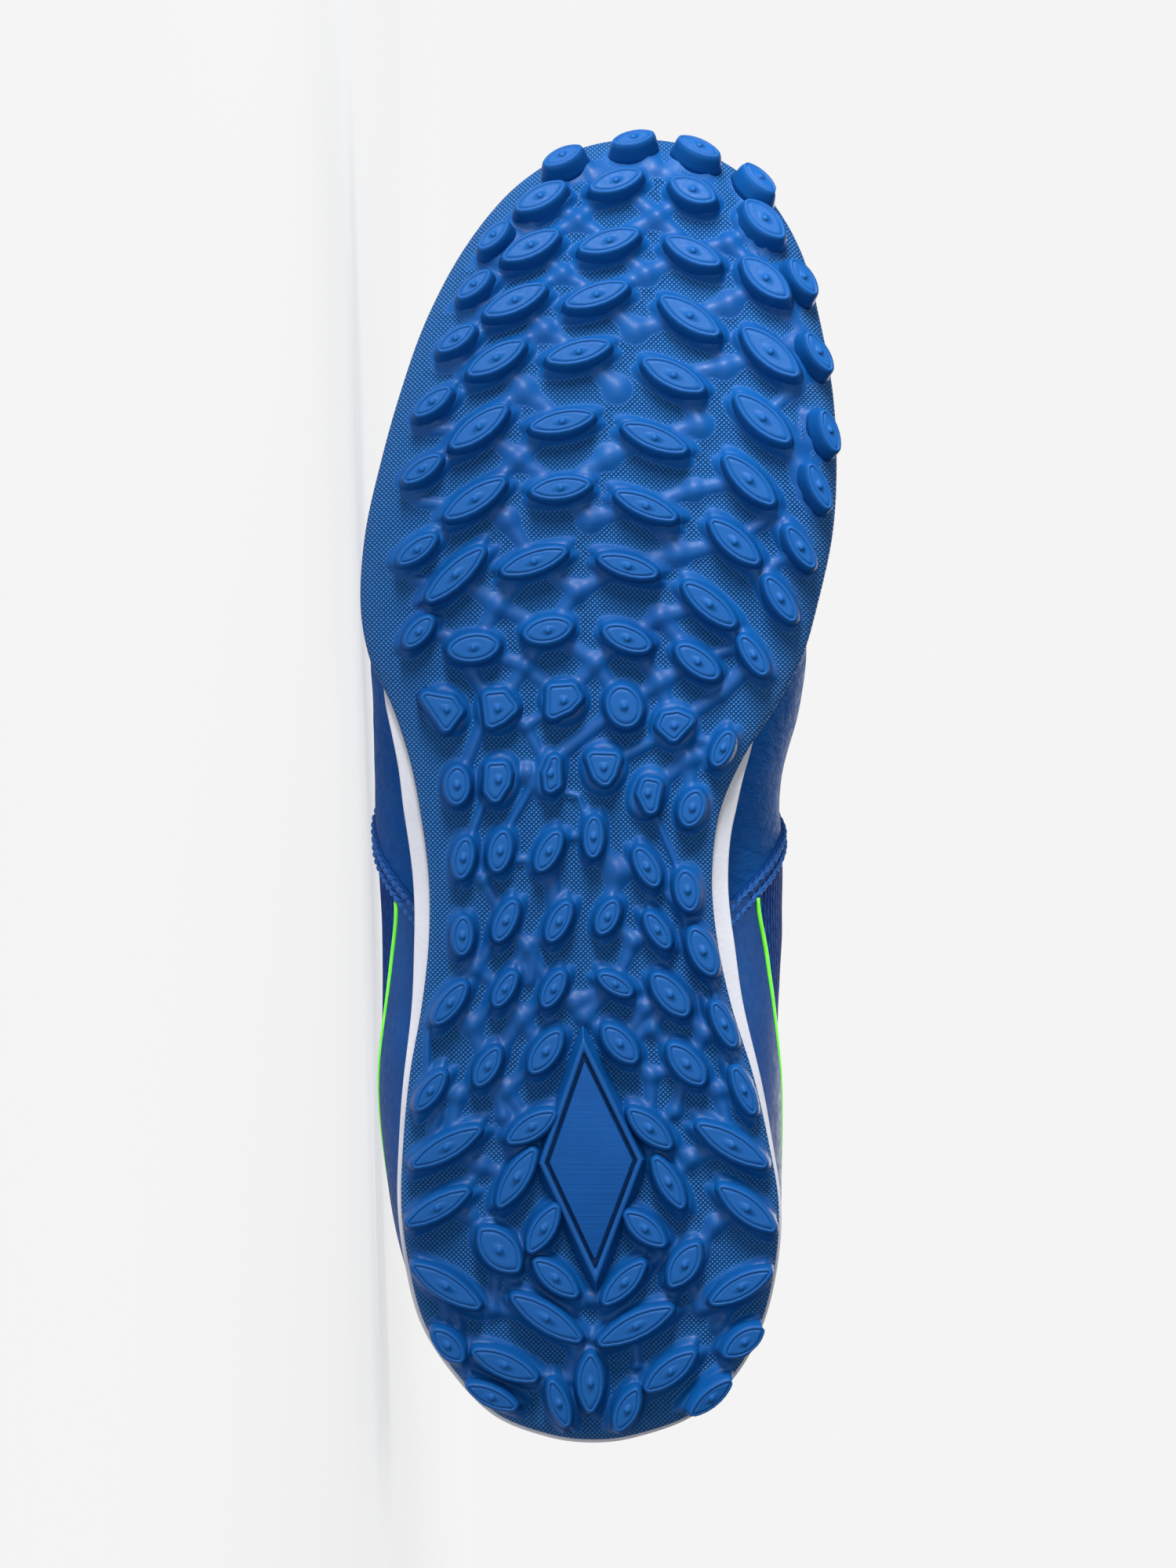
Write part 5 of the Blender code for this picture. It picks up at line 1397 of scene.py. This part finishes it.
def eyelets():
    """A small ring round each lace hole."""
    bodies = []
    angles = 2 * math.pi * np.arange(24) / 24
    for section in EYELET_SECTIONS:
        for outer in (True, False):
            centre, normal = on_upper(section, outer, EYELET_LEVEL - EYELET_STEP, OVERLAY_THICKNESS + 0.0001)
            first = np.cross(normal, (0.0, 1.0, 0.0))
            first /= np.linalg.norm(first)
            second = np.cross(normal, first)
            rings = []
            for turn in 2 * math.pi * np.arange(8) / 8:
                radius = EYELET_RADIUS + EYELET_ROUND * math.cos(turn)
                ring = centre + normal * EYELET_RISE * math.sin(turn)
                around = np.cos(angles)[:, None] * first + np.sin(angles)[:, None] * second
                rings.append(ring + around * radius)
            bodies.append((np.concatenate(rings), looped_strip(len(rings), len(angles))))
    return joined("eyelet_rings", bodies, METAL)


tread()
lugs()
diamond()
midsole()
upper()
counter()
eyestay()
piping()
seam_ridge()
seams()
insole()
tongue()
laces()
eyelets()


# Stage, light and camera
PALE = 0.905
FLOOR_RADIUS = 1.8
FADE_START = 0.22
FADE_END = 0.95
FLOOR_GLOW = 0.71
FLOOR_SHADE = 0.36


def floor():
    """A pale floor that fades out before its edge, so that no horizon shows behind the shoe."""
    mesh = bpy.data.meshes.new("floor")
    steps = 2 * math.pi * np.arange(96) / 96
    rim = np.column_stack([np.cos(steps) * FLOOR_RADIUS, np.sin(steps) * FLOOR_RADIUS, np.full(96, -0.0002)])
    mesh.from_pydata(rim.tolist(), [], [list(range(96))])
    item = bpy.data.objects.new("floor", mesh)
    bpy.context.scene.collection.objects.link(item)
    finish = bpy.data.materials.new("pale_floor")
    finish.use_nodes = True
    finish.cycles.emission_sampling = "NONE"
    nodes, links = finish.node_tree.nodes, finish.node_tree.links
    nodes.clear()
    kinds = ("OutputMaterial", "BsdfDiffuse", "Emission", "AddShader", "BsdfTransparent", "MixShader",
             "TexCoord", "VectorMath", "MapRange")
    output, diffuse, glow, lit, clear, mixed, place, length, fade = (
        nodes.new("ShaderNode" + kind) for kind in kinds)
    diffuse.inputs["Color"].default_value = (FLOOR_SHADE, FLOOR_SHADE, FLOOR_SHADE, 1)
    glow.inputs["Color"].default_value = (PALE, PALE, PALE, 1)
    glow.inputs["Strength"].default_value = FLOOR_GLOW
    length.operation = "LENGTH"
    fade.interpolation_type = "SMOOTHSTEP"
    fade.inputs["From Min"].default_value = FADE_START
    fade.inputs["From Max"].default_value = FADE_END
    links.new(place.outputs["Object"], length.inputs[0])
    links.new(length.outputs["Value"], fade.inputs["Value"])
    links.new(fade.outputs["Result"], mixed.inputs[0])
    links.new(diffuse.outputs[0], lit.inputs[0])
    links.new(glow.outputs[0], lit.inputs[1])
    links.new(lit.outputs[0], mixed.inputs[1])
    links.new(clear.outputs[0], mixed.inputs[2])
    links.new(mixed.outputs[0], output.inputs["Surface"])
    mesh.materials.append(finish)


def world():
    """A white studio: the camera sees it pale, and its light on the shoe is softer."""
    studio = bpy.data.worlds.new("studio")
    bpy.context.scene.world = studio
    studio.use_nodes = True
    nodes, links = studio.node_tree.nodes, studio.node_tree.links
    back = nodes["Background"]
    back.inputs["Color"].default_value = (PALE, PALE, PALE, 1)
    back.inputs["Strength"].default_value = 1.0
    soft = nodes.new("ShaderNodeBackground")
    soft.inputs["Color"].default_value = (0.93, 0.97, 1.0, 1)
    soft.inputs["Strength"].default_value = 0.17
    ray = nodes.new("ShaderNodeLightPath")
    mixed = nodes.new("ShaderNodeMixShader")
    links.new(ray.outputs["Is Camera Ray"], mixed.inputs[0])
    links.new(soft.outputs[0], mixed.inputs[1])
    links.new(back.outputs[0], mixed.inputs[2])
    links.new(mixed.outputs[0], nodes["World Output"].inputs["Surface"])


def area_light(name, place, target, size, power, colour=(1, 1, 1)):
    """A soft light at a place in the shoe's frame, pointing at another."""
    data = bpy.data.lights.new(name, "AREA")
    data.shape = "DISK"
    data.size = size
    data.energy = power
    data.color = colour
    item = bpy.data.objects.new(name, data)
    bpy.context.scene.collection.objects.link(item)
    item.location = SHOE_TO_WORLD @ Vector(place)
    aim = SHOE_TO_WORLD @ Vector(target) - item.location
    item.rotation_euler = aim.to_track_quat("-Z", "Y").to_euler()


def lights():
    area_light("key_from_toe", (0.10, 0.95, -0.55), (0, 0.14, 0), 0.45, 28.5)
    area_light("fill_from_below", (-0.25, 0.30, -1.2), (0, 0.14, 0), 0.9, 5.0)
    area_light("fill_upper", (-0.60, 0.10, 1.20), (0, 0.14, 0.04), 0.7, 5.0)
    area_light("rim_inner", (-0.9, 0.25, 0.10), (0, 0.14, 0.03), 0.6, 2.5)


PHOTO_HEIGHT = 2000
SENSOR = 36.0


def camera():
    """Straight at the lugs from below, with the toe up."""
    data = bpy.data.cameras.new("camera")
    item = bpy.data.objects.new("camera", data)
    bpy.context.scene.collection.objects.link(item)
    bpy.context.scene.camera = item
    data.sensor_width = SENSOR
    data.sensor_fit = "AUTO"
    unit_along = SOLE_LENGTH / CHART_LENGTH
    data.lens = SENSOR * VIEW_DISTANCE / (PHOTO_HEIGHT * unit_along)
    data.clip_start = 0.05
    data.clip_end = 20.0
    right = SHOE_TO_WORLD.to_3x3() @ Vector((-1, 0, 0))
    up = SHOE_TO_WORLD.to_3x3() @ Vector((0, 1, 0))
    back = right.cross(up)
    place = SHOE_TO_WORLD @ Vector((0, SOLE_LENGTH * MIDDLE_ALONG, -VIEW_DISTANCE))
    turn = Matrix((right, up, back)).transposed().to_4x4()
    item.matrix_world = Matrix.Translation(place) @ turn


floor()
world()
lights()
camera()
bpy.context.scene.view_settings.view_transform = "Standard"
